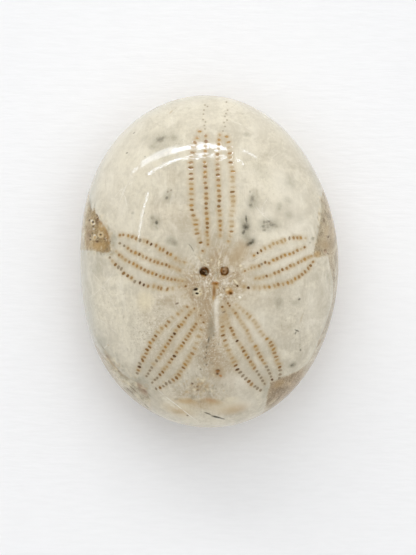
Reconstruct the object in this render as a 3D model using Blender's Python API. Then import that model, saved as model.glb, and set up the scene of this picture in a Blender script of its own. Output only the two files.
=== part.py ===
"""Polished fossil sand dollar: one solid domed stone, ground flat underneath.

Metres, +Z up. The row frame's origin is the middle of the footprint, on the
flat the fossil rests on. +Y runs along its length towards the front, where the
single long petal points, and +X to the right seen from above.
"""

import math

import bmesh
import bpy
from mathutils import Vector

MM = 0.001

# Outer size
HALF_LENGTH = 25.1 * MM  # along Y
HALF_WIDTH = 19.6 * MM  # along X
HEIGHT = 21.5 * MM
RIM_HEIGHT = 8.0 * MM  # level of the widest line round the sides

# How the outline strays from an ellipse: (waves round the edge, cosine share, sine share).
# The fossil is slightly egg-shaped and was ground unevenly by hand.
OUTLINE_WAVES = (
    (2, -0.0021, -0.0085),
    (3, 0.0081, -0.0029),
    (4, -0.0058, 0.0010),
    (5, 0.0035, 0.0020),
)

# Dome above the rim, a superellipse from the crown down to the rim
DOME_OUT = 2.25  # power on the radius, above 2 for a flatter crown
DOME_UP = 2.05  # root on the height
CROWN_SHIFT = Vector((0.3, -1.6)) * MM  # the crown lies a little behind the middle

# Rounded side below the rim, down to the ground flat
FLAT_SHARE = 0.78  # flat's edge, as a share of the outline
SIDE_POWER = 2.1

# Underside: a flat ring to rest on, hollowed gently inside it, with the mouth sunk in the hollow
HOLLOW_SHARE = 0.50  # hollow's edge, as a share of the outline
HOLLOW_DEPTH = 0.45 * MM
MOUTH_CENTRE = Vector((0.0, 2.6)) * MM
MOUTH_HALF = Vector((3.5, 2.7)) * MM
MOUTH_DEPTH = 1.1 * MM

# Faceting
SEGMENTS = 80
DOME_RINGS = 20
SIDE_RINGS = 10
HOLLOW_RINGS = 4
MOUTH_RINGS = 5


def outline(angle):
    """Distance of the outline from its middle, at an angle from +X."""
    c, s = math.cos(angle), math.sin(angle)
    ellipse = 1.0 / math.hypot(c / HALF_WIDTH, s / HALF_LENGTH)
    waves = sum(
        a * math.cos(n * angle) + b * math.sin(n * angle) for n, a, b in OUTLINE_WAVES
    )
    return ellipse * (1.0 + waves)


def outline_box():
    """Lowest and highest corner of the outline before it is centred."""
    points = [
        (outline(t) * math.cos(t), outline(t) * math.sin(t))
        for t in (2.0 * math.pi * i / 1440 for i in range(1440))
    ]
    xs, ys = zip(*points)
    return Vector((min(xs), min(ys))), Vector((max(xs), max(ys)))


def dome_point(q):
    """(share of the outline, height) on the dome, for q from 0 at the crown to pi/2 at the rim."""
    share = math.sin(q) ** (2.0 / DOME_OUT)
    return share, RIM_HEIGHT + (HEIGHT - RIM_HEIGHT) * max(math.cos(q), 0.0) ** (
        2.0 / DOME_UP
    )


def side_point(q):
    """(share of the outline, height) below the rim, for q from 0 at the rim to pi/2 at the flat."""
    out = max(math.cos(q), 0.0) ** (2.0 / SIDE_POWER)
    down = math.sin(q) ** (2.0 / SIDE_POWER)
    return FLAT_SHARE + (1.0 - FLAT_SHARE) * out, RIM_HEIGHT * (1.0 - down)


def even_steps(curve, count):
    """count points along a profile curve at equal spacing, its end included and its start left out."""
    fine = [curve(0.5 * math.pi * i / 800) for i in range(801)]
    mean = 0.5 * (HALF_LENGTH + HALF_WIDTH)
    run = [0.0]
    for (s0, z0), (s1, z1) in zip(fine, fine[1:]):
        run.append(run[-1] + math.hypot((s1 - s0) * mean, z1 - z0))
    picked, i = [], 0
    for k in range(1, count + 1):
        goal = run[-1] * k / count
        while i < 799 and run[i + 1] < goal:
            i += 1
        t = (goal - run[i]) / (run[i + 1] - run[i])
        picked.append(
            tuple(a + (b - a) * min(t, 1.0) for a, b in zip(fine[i], fine[i + 1]))
        )
    return picked


def underside_rings(angle):
    """Points from the flat's inner edge to the bottom of the mouth, along one direction.

    The rings close in from the outline's shape to the mouth's oval, then shrink inside it.
    """
    reach = outline(angle) * HOLLOW_SHARE
    edge = Vector((reach * math.cos(angle), reach * math.sin(angle))) - middle_shift()
    lip = Vector(
        (
            MOUTH_CENTRE.x + MOUTH_HALF.x * math.cos(angle),
            MOUTH_CENTRE.y + MOUTH_HALF.y * math.sin(angle),
        )
    )
    points = []
    for k in range(HOLLOW_RINGS + 1):
        u = k / HOLLOW_RINGS
        at = edge.lerp(lip, u)
        points.append((at.x, at.y, HOLLOW_DEPTH * u * u * (3.0 - 2.0 * u)))
    for k in range(1, MOUTH_RINGS + 1):
        v = 1.0 - k / MOUTH_RINGS
        at = MOUTH_CENTRE.lerp(lip, v)
        points.append((at.x, at.y, HOLLOW_DEPTH + MOUTH_DEPTH * (1.0 - v * v) ** 0.8))
    return points


def middle_shift():
    """What to take off every outline point so that its box is centred on the origin."""
    low, high = outline_box()
    return (low + high) * 0.5


def shape(mesh):
    """Moves a unit sphere's rings onto the fossil's profile."""
    middle = middle_shift()
    profile = [(0.0, HEIGHT)]
    profile += even_steps(dome_point, DOME_RINGS)
    profile += even_steps(side_point, SIDE_RINGS)
    under_from = len(profile)
    rings = ring_count()
    inner = {}
    for vertex in mesh.verts:
        polar = math.acos(max(-1.0, min(1.0, vertex.co.normalized().z)))
        ring = round(polar / math.pi * rings)
        angle = math.atan2(vertex.co.y, vertex.co.x)
        if ring >= under_from:
            step = round(angle / math.tau * SEGMENTS)
            if step not in inner:
                inner[step] = underside_rings(angle)
            vertex.co = inner[step][ring - under_from]
            continue
        share, z = profile[ring]
        reach = outline(angle) * share
        x = reach * math.cos(angle) - middle.x
        y = reach * math.sin(angle) - middle.y
        if ring <= DOME_RINGS:
            lean = 1.0 - share * share
            x += CROWN_SHIFT.x * lean
            y += CROWN_SHIFT.y * lean
        vertex.co = (x, y, z)


def ring_count():
    return DOME_RINGS + SIDE_RINGS + HOLLOW_RINGS + 1 + MOUTH_RINGS


def make_fossil(collection):
    mesh = bmesh.new()
    bmesh.ops.create_uvsphere(
        mesh, u_segments=SEGMENTS, v_segments=ring_count(), radius=1.0
    )
    shape(mesh)
    bmesh.ops.triangulate(mesh, faces=mesh.faces[:])
    bmesh.ops.recalc_face_normals(mesh, faces=mesh.faces[:])
    data = bpy.data.meshes.new("fossil_sand_dollar")
    mesh.to_mesh(data)
    mesh.free()
    data.shade_smooth()
    data.set_sharp_from_angle(angle=math.radians(40.0))
    fossil = bpy.data.objects.new("fossil_sand_dollar", data)
    collection.objects.link(fossil)
    return fossil


def polished_stone():
    material = bpy.data.materials.new("polished_stone")
    material.use_nodes = True
    shader = material.node_tree.nodes["Principled BSDF"]
    shader.inputs["Base Color"].default_value = (0.60, 0.54, 0.42, 1.0)
    shader.inputs["Roughness"].default_value = 0.12
    shader.inputs["Metallic"].default_value = 0.0
    return material


def main():
    for old in list(bpy.data.objects):
        bpy.data.objects.remove(old, do_unlink=True)
    collection = bpy.data.collections.new("fossil sand dollar")
    bpy.context.scene.collection.children.link(collection)
    fossil = make_fossil(collection)
    fossil.data.materials.append(polished_stone())


main()
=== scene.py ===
"""Looks of the polished fossil sand dollar: stone surface, petals, lights, floor and camera."""

import math
import random

import bmesh
import bpy
import numpy as np
from mathutils import Matrix, Vector, noise
from mathutils.bvhtree import BVHTree
from mathutils.kdtree import KDTree


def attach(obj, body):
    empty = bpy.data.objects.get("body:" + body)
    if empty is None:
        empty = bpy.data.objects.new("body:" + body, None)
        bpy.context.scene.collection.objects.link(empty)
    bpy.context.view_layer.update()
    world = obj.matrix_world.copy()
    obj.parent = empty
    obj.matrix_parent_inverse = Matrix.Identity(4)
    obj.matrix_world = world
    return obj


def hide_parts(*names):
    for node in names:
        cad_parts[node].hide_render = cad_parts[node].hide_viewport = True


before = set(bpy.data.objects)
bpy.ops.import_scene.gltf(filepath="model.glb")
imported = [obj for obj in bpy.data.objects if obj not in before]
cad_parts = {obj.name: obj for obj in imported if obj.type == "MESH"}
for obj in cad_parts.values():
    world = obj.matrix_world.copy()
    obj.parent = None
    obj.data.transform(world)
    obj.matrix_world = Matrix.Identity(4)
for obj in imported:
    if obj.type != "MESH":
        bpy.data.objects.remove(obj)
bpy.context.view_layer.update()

NODE = "fossil_sand_dollar"
rng = random.Random(11)

# ---------------------------------------------------------------- form
# Millimetres from here on; the mesh is scaled to metres at the end.
HALF_LENGTH, HALF_WIDTH, HEIGHT, RIM_HEIGHT = 25.1, 19.6, 21.5, 8.0
OUTLINE_WAVES = (
    (2, -0.0021, -0.0085),
    (3, 0.0081, -0.0029),
    (4, -0.0058, 0.0010),
    (5, 0.0035, 0.0020),
)
DOME_OUT, DOME_UP = 2.25, 2.05
CROWN_SHIFT = (0.3, -1.6)
FLAT_SHARE, SIDE_POWER = 0.78, 2.1
HOLLOW_SHARE, HOLLOW_DEPTH = 0.50, 0.45
MOUTH_CENTRE, MOUTH_HALF, MOUTH_DEPTH = (0.0, 2.6), (3.5, 2.7), 1.1
MEAN = 0.5 * (HALF_LENGTH + HALF_WIDTH)
LIP = 0.5 * (MOUTH_HALF[0] + MOUTH_HALF[1])
DOME, SIDE, FLAT, HOLLOW, MOUTH = range(5)


def outline(a):
    """Distance of the outline from its middle, at angles from +X."""
    c, s = np.cos(a), np.sin(a)
    waves = sum(p * np.cos(n * a) + q * np.sin(n * a) for n, p, q in OUTLINE_WAVES)
    return (1.0 + waves) / np.hypot(c / HALF_WIDTH, s / HALF_LENGTH)


_turn = np.linspace(0, 2 * math.pi, 1440, endpoint=False)
_ox, _oy = outline(_turn) * np.cos(_turn), outline(_turn) * np.sin(_turn)
MIDDLE = np.array([(_ox.min() + _ox.max()) / 2, (_oy.min() + _oy.max()) / 2])


def surface(g, a):
    """Points of the smooth stone. g runs from 0 at the crown to 5 at the mouth's middle, a is the angle from +X."""
    g, a = np.asarray(g, float), np.asarray(a, float)
    stage = np.minimum(g.astype(int), MOUTH)
    w = np.clip(g - stage, 0.0, 1.0)
    q = w * math.pi / 2
    sin, cos = np.sin(q), np.maximum(np.cos(q), 0.0)
    share = np.select(
        [stage == DOME, stage == SIDE, stage == FLAT],
        [
            sin ** (2 / DOME_OUT),
            FLAT_SHARE + (1 - FLAT_SHARE) * cos ** (2 / SIDE_POWER),
            FLAT_SHARE + (HOLLOW_SHARE - FLAT_SHARE) * w,
        ],
        HOLLOW_SHARE,
    )
    reach = outline(a) * share
    lean = np.where(stage == DOME, 1 - share**2, 0.0)
    x = reach * np.cos(a) - MIDDLE[0] + CROWN_SHIFT[0] * lean
    y = reach * np.sin(a) - MIDDLE[1] + CROWN_SHIFT[1] * lean
    lip_x = MOUTH_CENTRE[0] + MOUTH_HALF[0] * np.cos(a)
    lip_y = MOUTH_CENTRE[1] + MOUTH_HALF[1] * np.sin(a)
    inner, mouth = stage == HOLLOW, stage >= MOUTH
    x = np.where(inner, x + (lip_x - x) * w, x)
    y = np.where(inner, y + (lip_y - y) * w, y)
    x = np.where(mouth, MOUTH_CENTRE[0] + (lip_x - MOUTH_CENTRE[0]) * (1 - w), x)
    y = np.where(mouth, MOUTH_CENTRE[1] + (lip_y - MOUTH_CENTRE[1]) * (1 - w), y)
    z = np.select(
        [stage == DOME, stage == SIDE, stage == FLAT, inner],
        [
            RIM_HEIGHT + (HEIGHT - RIM_HEIGHT) * cos ** (2 / DOME_UP),
            RIM_HEIGHT * (1 - sin ** (2 / SIDE_POWER)),
            0.0 * w,
            HOLLOW_DEPTH * w * w * (3 - 2 * w),
        ],
        HOLLOW_DEPTH + MOUTH_DEPTH * np.maximum(1 - (1 - w) ** 2, 0) ** 0.8,
    )
    return np.stack([x, y, z], -1)


def meridian():
    """Along an average meridian: g, distance from the axis, run from the crown, and the stretch that keeps triangles even."""
    g = np.concatenate(
        [[2e-4], np.linspace(0, 1, 4001)[1:], np.linspace(1, 2, 1501)[1:]]
        + [np.linspace(k, k + 1, 401)[1:] for k in (2, 3, 4)]
    )[:-1]
    stage, w = g.astype(int), g - g.astype(int)
    q = w * math.pi / 2
    radius = np.select(
        [stage == DOME, stage == SIDE, stage == FLAT, stage == HOLLOW],
        [
            MEAN * np.sin(q) ** (2 / DOME_OUT),
            MEAN
            * (FLAT_SHARE + (1 - FLAT_SHARE) * np.maximum(np.cos(q), 0) ** (2 / SIDE_POWER)),
            MEAN * (FLAT_SHARE + (HOLLOW_SHARE - FLAT_SHARE) * w),
            MEAN * HOLLOW_SHARE + (LIP - MEAN * HOLLOW_SHARE) * w,
        ],
        LIP * (1 - w),
    )
    z = surface(g, np.full_like(g, 0.9))[:, 2]
    step = np.hypot(np.diff(radius), np.diff(z))
    run = radius[0] + np.concatenate([[0.0], np.cumsum(step)])
    spread = math.log(radius[0]) + np.concatenate(
        [[0.0], np.cumsum(step / (0.5 * (radius[1:] + radius[:-1])))]
    )
    return g, radius, run, spread


G, RADIUS, RUN, SPREAD = meridian()
RIM_RUN = float(np.interp(1.0, G, RUN))
CROWN_SCALE = 12.0  # smaller puts more of the triangles on top


def place(d):
    """(g, angle) of each unit direction d."""
    polar = np.arctan2(np.hypot(d[:, 0], d[:, 1]), d[:, 2])
    half = np.clip(polar / 2, 1e-6, math.pi / 2 - 1e-6)
    g = np.interp(np.log(np.tan(half)) + math.log(2 * CROWN_SCALE), SPREAD, G)
    g = np.where(polar < 1e-5, 0.0, np.where(polar > math.pi - 1e-5, 5.0, g))
    return g, np.arctan2(HALF_LENGTH * d[:, 1], HALF_WIDTH * d[:, 0])


def smooth(x):
    x = np.clip(x, 0.0, 1.0)
    return x * x * (3 - 2 * x)


def smooth_(x):
    return float(smooth(np.array(x, float)))


# ---------------------------------------------------------------- main view
# Straight down. Marks that show from above are placed by where they are in this view.
VIEW_W, VIEW_H = 416, 555
EYE = np.array([-0.226, -2.41, 288.0])
LENS, SENSOR = 120.6, 36.0
SIGHT = (SENSOR / 2 / LENS) / (VIEW_H / 2)  # slope of a ray per pixel
PIXEL = 0.1506  # mm across a pixel at the rim


def directions(mesh):
    d = np.array([v.co[:] for v in mesh.verts])
    return d / np.linalg.norm(d, axis=1)[:, None]


ball = bmesh.new()
bmesh.ops.create_icosphere(ball, subdivisions=7, radius=1.0)
even_g, even_a = place(directions(ball))
even = surface(even_g, even_a)
even_faces = [tuple(v.index for v in f.verts) for f in ball.faces]
skin = BVHTree.FromPolygons([tuple(p) for p in even], even_faces)
finder = KDTree(len(even))
for i, p in enumerate(even):
    finder.insert(p, i)
finder.balance()
CENTRE = (209.5, 261.5)


def seen(x, y):
    """Point of the stone at a pixel of the main view; past its edge, the nearest point of the edge."""
    for k in range(80):
        share = 1 - 0.003 * k
        px = CENTRE[0] + (x - CENTRE[0]) * share
        py = CENTRE[1] + (y - CENTRE[1]) * share
        ray = Vector(((px - VIEW_W / 2) * SIGHT, -(py - VIEW_H / 2) * SIGHT, -1.0))
        hit = skin.ray_cast(Vector(EYE), ray.normalized())[0]
        if hit is not None:
            return np.array(hit)
    raise ValueError(f"nothing at {x}, {y}")


def below(x, y):
    """Point of the underside at x, y in mm."""
    return np.array(skin.ray_cast(Vector((x, y, -50.0)), Vector((0, 0, 1)))[0])


def unrolled(p):
    """(degrees from the rear, positive to the right; mm of run below the rim) of a point on the stone."""
    near = finder.find_n(Vector(p), 3)
    weights = np.array([1 / (n[2] + 1e-3) for n in near])
    weights /= weights.sum()
    ids = [n[1] for n in near]
    run = float(np.interp(even_g[ids], G, RUN) @ weights)
    x, y = (np.stack([np.cos(even_a[ids]), np.sin(even_a[ids])]) @ weights).tolist()
    turn = math.degrees(math.atan2(y, x)) + 90
    return (turn + 180) % 360 - 180, run - RIM_RUN


class Spot:
    """An ellipse lying on the stone: its middle, its two half axes in 3D."""

    def __init__(self, at, first, second):
        self.at, self.first, self.second = at, first, second
        self.a, self.b = np.linalg.norm(first), np.linalg.norm(second)
        self.g = np.array(
            [[first @ first, first @ second], [first @ second, second @ second]]
        )
        self.inv = np.linalg.inv(self.g)

    @classmethod
    def in_view(cls, x, y, rx, ry, turn):
        """From pixels of the main view; turn is in degrees, clockwise."""
        c, s = math.cos(math.radians(turn)), math.sin(math.radians(turn))
        first = (seen(x + rx * c, y + rx * s) - seen(x - rx * c, y - rx * s)) / 2
        second = (seen(x - ry * s, y + ry * c) - seen(x + ry * s, y - ry * c)) / 2
        return cls(seen(x, y), first, second)

    @classmethod
    def under(cls, x, y, rx, ry, turn):
        """From mm on the underside; turn is in degrees, from +X towards +Y."""
        c, s = math.cos(math.radians(turn)), math.sin(math.radians(turn))
        first = (below(x + rx * c, y + rx * s) - below(x - rx * c, y - rx * s)) / 2
        second = (below(x - ry * s, y + ry * c) - below(x + ry * s, y - ry * c)) / 2
        return cls(below(x, y), first, second)

    @classmethod
    def on_side(cls, turn, down, across, along, size):
        """From degrees from the rear and mm below the rim; across and along are half sizes in mm."""
        g = np.interp(RIM_RUN + np.array([down - 0.1, down, down + 0.1]), RUN, G)
        a = math.radians(turn - 90)
        p = surface(g, np.full(3, a))
        fall = (p[2] - p[0]) / np.linalg.norm(p[2] - p[0])
        round_ = surface(g[1:2], np.array([a + 0.01]))[0] - p[1]
        round_ -= fall * (round_ @ fall)
        round_ /= np.linalg.norm(round_)
        return cls(p[1], round_ * across * size, fall * along * size)

    def measure(self, points, margin):
        """(ids of the points within margin of it, q there with 1 on its outline, signed distance from the outline)"""
        d = points - self.at
        reach = max(self.a, self.b) + margin
        ids = np.nonzero((d * d).sum(1) < reach * reach)[0]
        d = d[ids]
        uv = np.stack([d @ self.first, d @ self.second], -1) @ self.inv
        q = np.hypot(uv[:, 0], uv[:, 1]) + 1e-9
        slope = np.hypot(uv[:, 0] / self.a, uv[:, 1] / self.b) / q
        return ids, q, (q - 1) / np.maximum(slope, 1e-6)


# ---------------------------------------------------------------- petals
# Each petal has four rows of pore slits. A row gives its half sizes in pixels, a chain of knots
# (x, y, slits to the next knot), and the filling of its slits in turn: f faint, t tan, o orange,
# b brown, g grey brown, d dark, k nearly black, x none.
PETALS = {
    "front": {
        "axis": (-0.5, -137),
        "rows": [
            (2.35, 1.15, [(199.6, 131.5, 1), (197.2, 138, 1), (194.8, 142.4, 2), (192.3, 152.5, 2), (190.7, 162.6, 3), (191, 179.2, 2), (191.3, 189.2, 4), (191.9, 209.9, 2), (195.1, 220, 3), (197, 233.9, 2), (200.6, 242.5, 2), (202.5, 250.9, 0)], "oobfbfbdddtotbodbtotbfdxb"),
            (1.9, 1.35, [(205.6, 135.4, 1), (206, 141.3, 2), (205.1, 151.3, 2), (204.8, 162, 3), (205.2, 177.5, 3), (206.3, 193.5, 3), (206.3, 208.3, 3), (207.3, 223.4, 2), (207.2, 232.2, 3), (208, 244.3, 0)], "bdfofodobbdbbddboddbttb"),
            (1.9, 1.35, [(220, 134.8, 1), (219.3, 139.3, 1), (219, 143.9, 2), (217.8, 154.4, 2), (217.7, 164.7, 2), (218, 174.8, 2), (218.8, 185.8, 3), (219.1, 201, 1), (218.7, 206.4, 1), (219.4, 210.9, 3), (220.1, 225.7, 1), (220.3, 230.2, 1), (220, 235.6, 0)], "toofbtbbdbobbddbtbobt"),
            (2.35, 1.15, [(226.8, 136.6, 1), (228.7, 141.8, 1), (229.8, 147.5, 1), (229.9, 153, 2), (230.9, 162.3, 2), (232.8, 171.5, 1), (232.3, 177, 3), (232.5, 191.8, 2), (233, 201.2, 3), (231.9, 216, 2), (231.8, 226.4, 1), (231.4, 231.4, 1), (229.8, 236.3, 1), (228.1, 241.3, 0)], "oofbtdfotffdttfffftbft"),
        ],
    },
    "left": {
        "axis": (-88, -37),
        "rows": [
            (1.9, 1.2, [(119.9, 235.2, 1), (123.5, 234.9, 1), (128.2, 235.6, 1), (132.3, 237, 2), (139.8, 240.3, 2), (147.4, 242.1, 1), (151.2, 244.5, 1), (155.7, 245.8, 1), (159.7, 249, 1), (163.6, 250, 1), (167.2, 253, 1), (170.7, 254.6, 1), (175.5, 258.4, 1), (179.6, 261, 1), (184.2, 262.3, 0)], "bbobbgfdkbobdotft"),
            (1.7, 1.25, [(119.8, 243.5, 1), (124.3, 245.9, 1), (127.7, 248.3, 1), (131.3, 251, 1), (135.4, 252.5, 1), (139.1, 254.4, 1), (143, 256.2, 2), (150.4, 260.2, 2), (158.1, 262.7, 1), (162.1, 264, 1), (166.2, 265.1, 1), (169.3, 266.2, 1), (173, 267.2, 1), (176.4, 268.9, 1), (179.6, 270.8, 0)], "ggbbodtbbbbbdbfft"),
            (1.7, 1.25, [(116.2, 252, 1), (119, 255, 3), (129, 262, 1), (133.3, 263.8, 2), (140.9, 268.1, 2), (148.5, 271.8, 2), (156.4, 274.7, 2), (164, 277.4, 2), (171.6, 279.3, 3), (182.4, 281, 0)], "fbttboobbbodbobbbtt"),
            (1.9, 1.2, [(109.8, 257.3, 1), (112.4, 261.3, 1), (115.3, 264.5, 1), (118.1, 267.3, 1), (121.3, 269, 1), (123.6, 273.2, 1), (127.4, 275.7, 1), (131.4, 278, 1), (134.7, 281.5, 1), (139.8, 282.6, 1), (143.8, 284.8, 1), (148, 286.5, 1), (153.3, 286.8, 1), (158, 287.3, 1), (161.3, 288.7, 1), (167.2, 289.2, 3), (186, 286.2, 0)], "gfdggddbgkkbtbbbffd"),
        ],
    },
    "right": {
        "axis": (86, -37),
        "rows": [
            (1.9, 1.2, [(253.8, 255.8, 1), (257.6, 253.3, 1), (261, 250.7, 2), (269.6, 246.3, 1), (273.2, 243.9, 1), (277.2, 242.8, 1), (281.6, 241.4, 1), (285.2, 240, 1), (289.4, 238.5, 1), (293.7, 237.7, 1), (297.2, 237.9, 1), (300.9, 238, 1), (305.5, 238.4, 0)], "okdttttttgbbof"),
            (1.7, 1.25, [(244.8, 271.2, 1), (248.4, 269.6, 1), (251.6, 268, 1), (254.8, 267.1, 1), (258.8, 266, 1), (261.9, 264.3, 1), (265.5, 262.5, 1), (269.4, 262.9, 1), (273.2, 260, 1), (277.2, 258.6, 1), (281.1, 256.8, 2), (289.3, 253.8, 1), (293.6, 252.4, 1), (297.2, 250.4, 2), (304.5, 247.2, 0)], "bfttbgdbobboobbfd"),
            (1.7, 1.25, [(255.6, 278.8, 1), (259.5, 278.4, 1), (263.3, 277.5, 1), (266.8, 276.2, 2), (274.8, 273.4, 2), (282.7, 269.8, 1), (286.8, 268.4, 1), (290.4, 266, 1), (294.2, 264.7, 1), (298, 262.6, 1), (301.5, 261.3, 1), (304.9, 259.4, 1), (308.3, 257.7, 1), (311.2, 255.9, 0)], "tttdfbbdbbtbtott"),
            (1.9, 1.2, [(237.5, 286.1, 1), (244, 286.7, 1), (248.4, 287.9, 1), (254.3, 287.7, 2), (264.2, 287.6, 1), (269.2, 287, 1), (274.2, 286, 1), (278.4, 284.6, 1), (283.2, 284.4, 1), (287.7, 282.9, 1), (291.8, 281.3, 1), (295.3, 278.4, 1), (299, 276.9, 1), (302.3, 274.3, 1), (305.2, 271.6, 1), (308, 268.8, 1), (310.7, 265.6, 1), (313.2, 261.9, 0)], "ktkfftotbtotobbbbdb"),
        ],
    },
    "back_left": {
        "axis": (-62, 86),
        "rows": [
            (2.2, 1.1, [(187.3, 307.1, 1), (181.8, 310.8, 1), (177.8, 314.3, 1), (172.6, 318, 1), (168.8, 321.9, 1), (165.8, 326, 1), (161.5, 328.2, 1), (158, 332.2, 1), (155.8, 336.2, 1), (153, 339.7, 1), (149.9, 343, 1), (149.6, 347, 1), (147, 349.9, 1), (146, 353.7, 1), (144.3, 357.2, 1), (142.4, 360.2, 1), (140.2, 363.4, 1), (139.2, 366.8, 1), (138.3, 370.2, 1), (137.2, 373.6, 0)], "bftfbbttdboddbbdgkbg"),
            (1.8, 1.15, [(194.3, 308.4, 1), (190.8, 312, 1), (188.5, 315.2, 1), (185.8, 318, 1), (183.6, 321.6, 1), (181.3, 324.6, 1), (178.7, 326.9, 1), (176.2, 330.2, 1), (174.5, 333.8, 1), (171.7, 336.9, 1), (170, 340.4, 1), (168.2, 343.7, 1), (165.5, 347, 1), (163.4, 351, 1), (161.2, 354.4, 1), (158.8, 357.6, 1), (156.4, 361, 1), (153.7, 364.2, 1), (151.7, 367.5, 1), (149.8, 370.6, 1), (148.1, 373.6, 1), (146.6, 376.3, 0)], "btbdtodtkddbobbtgfgggg"),
            (1.8, 1.15, [(200.6, 315.2, 2), (196, 323.8, 2), (192, 330.2, 2), (187.9, 336.2, 1), (185.7, 339.6, 1), (183.3, 342.8, 1), (181.5, 346, 1), (179.1, 348.8, 1), (176.4, 352.4, 1), (174.2, 356.1, 1), (171.8, 359.3, 1), (169.4, 362.5, 1), (166.9, 366.5, 1), (164.4, 369.4, 1), (162.4, 372.1, 1), (160, 374.9, 1), (157.3, 377.9, 1), (154.9, 380, 1), (152.5, 382.7, 0)], "dfbbbbbbdotbkdbttddggg"),
            (2.2, 1.1, [(203.8, 322.6, 2), (198.6, 336.6, 2), (194.9, 348.5, 1), (192.2, 353.6, 1), (189.3, 357.3, 1), (187.6, 361.3, 1), (185.2, 364.5, 1), (183.3, 368, 1), (181, 371.3, 1), (179, 374.8, 1), (176.4, 377.7, 1), (173.1, 379.9, 1), (169.7, 381.8, 1), (166.5, 383.8, 1), (163.4, 386.2, 1), (159.9, 387.7, 1), (156.3, 388.9, 0)], "dttftbttodtbdbgggdg"),
        ],
    },
    "back_right": {
        "axis": (52, 90),
        "rows": [
            (2.2, 1.1, [(222.5, 306.8, 1), (223.8, 312, 1), (222.8, 317.5, 1), (222, 322, 1), (222.2, 326.6, 2), (223.1, 335.4, 1), (224.7, 340.5, 1), (226, 345.5, 1), (228, 350, 1), (229.8, 354.3, 1), (232, 358.2, 1), (234, 362, 1), (235.9, 365.7, 1), (237.6, 369.4, 1), (240.3, 372.6, 1), (242.8, 375.8, 1), (246, 378.8, 1), (248.9, 381.5, 1), (251.8, 384, 1), (254.5, 386.4, 1), (257.3, 388.7, 1), (260.5, 390.4, 0)], "dgffbtdbttfttdkgggdbggg"),
            (1.8, 1.15, [(224.6, 309.5, 1), (226, 314.5, 1), (227.2, 319, 1), (228.5, 323.5, 1), (230.4, 328.2, 1), (232.1, 331.2, 1), (233.8, 334.3, 1), (235.6, 337.6, 1), (237.2, 341.1, 1), (239.8, 344.5, 1), (242, 347.6, 1), (243.7, 351.2, 1), (245.8, 354.8, 1), (248, 358, 1), (250.4, 361.6, 1), (252.3, 365, 1), (254.4, 368.3, 1), (257, 371.7, 1), (259, 374.9, 1), (261, 377.9, 1), (262.8, 380.9, 1), (264.5, 384, 0)], "ffffdbbfkfbdodbtbggggg"),
            (1.8, 1.15, [(227.6, 303.6, 1), (229.6, 306, 1), (232.5, 309.8, 1), (235.4, 313.4, 1), (237.8, 317, 1), (240.1, 320.5, 1), (242.3, 324, 1), (244.6, 327.4, 1), (246.8, 330.6, 1), (248.7, 334, 1), (250.1, 337.7, 1), (252, 341.8, 1), (255.4, 346.3, 1), (256.8, 349.9, 1), (258.3, 353.3, 1), (260.4, 356.9, 1), (262.5, 360.4, 1), (264.5, 363.6, 1), (266.4, 366.8, 1), (268.2, 370.2, 1), (269.6, 373.5, 1), (271, 376.7, 1), (272.3, 379.7, 0)], "ddfbtffftfffotbbbtggggk"),
            (2.2, 1.1, [(236, 304.8, 1), (239.4, 307.8, 1), (243.2, 311, 1), (247, 313.8, 1), (250.2, 317, 1), (253.4, 320.2, 1), (255.8, 323.6, 1), (258, 327.3, 1), (260.2, 331.4, 1), (263.2, 335.4, 1), (266.8, 339.2, 1), (270.2, 342.6, 1), (271.9, 345.9, 1), (273.5, 349.4, 1), (274.6, 352.9, 1), (275.8, 356.7, 1), (277, 360.2, 1), (278.8, 363.7, 1), (279.8, 367.2, 1), (280.3, 370.7, 1), (280.1, 374.4, 1), (279.5, 378.1, 0)], "fffttfffffobbobbttdggg"),
        ],
    },
}
# filling: (darkness, greyness, cover, stain around it), each 0 to 1
FILLINGS = {
    "f": (0.12, 0.2, 0.68, 0.75),
    "t": (0.22, 0.1, 0.9, 0.9),
    "o": (0.42, 0.0, 0.95, 1.0),
    "b": (0.60, 0.1, 0.95, 0.9),
    "g": (0.62, 0.8, 0.85, 0.3),
    "d": (0.78, 0.04, 1.0, 0.75),
    "k": (0.98, 0.1, 1.0, 0.55),
    "p": (0.60, 0.9, 0.55, 0.1),
}


def curve_through(points, per=8):
    """Points on a smooth curve through points, per to each stretch, and the last one."""
    p = np.array(points, float)
    p = np.vstack([2 * p[0] - p[1], p, 2 * p[-1] - p[-2]])
    out = []
    for i in range(1, len(p) - 2):
        a, b, c, d = p[i - 1 : i + 3]
        t = (np.arange(per) / per)[:, None]
        out.append(
            0.5
            * (2 * b + (c - a) * t + (2 * a - 5 * b + 4 * c - d) * t**2 + (3 * b - a - 3 * c + d) * t**3)
        )
    return np.vstack(out + [p[-2:-1]])


def slits_of(knots):
    """(x, y, direction x, y) of each slit along a row, in the main view."""
    per = 12
    curve = curve_through([k[:2] for k in knots], per)
    places = []
    for i, k in enumerate(knots[:-1]):
        places += [(i + j / k[2]) * per for j in range(k[2])]
    places.append((len(knots) - 1) * per)
    index = np.arange(len(curve))
    xs, ys = np.interp(places, index, curve[:, 0]), np.interp(places, index, curve[:, 1])
    run = np.gradient(curve, axis=0)
    dx, dy = np.interp(places, index, run[:, 0]), np.interp(places, index, run[:, 1])
    length = np.hypot(dx, dy)
    return list(zip(xs, ys, dx / length, dy / length))


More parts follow.
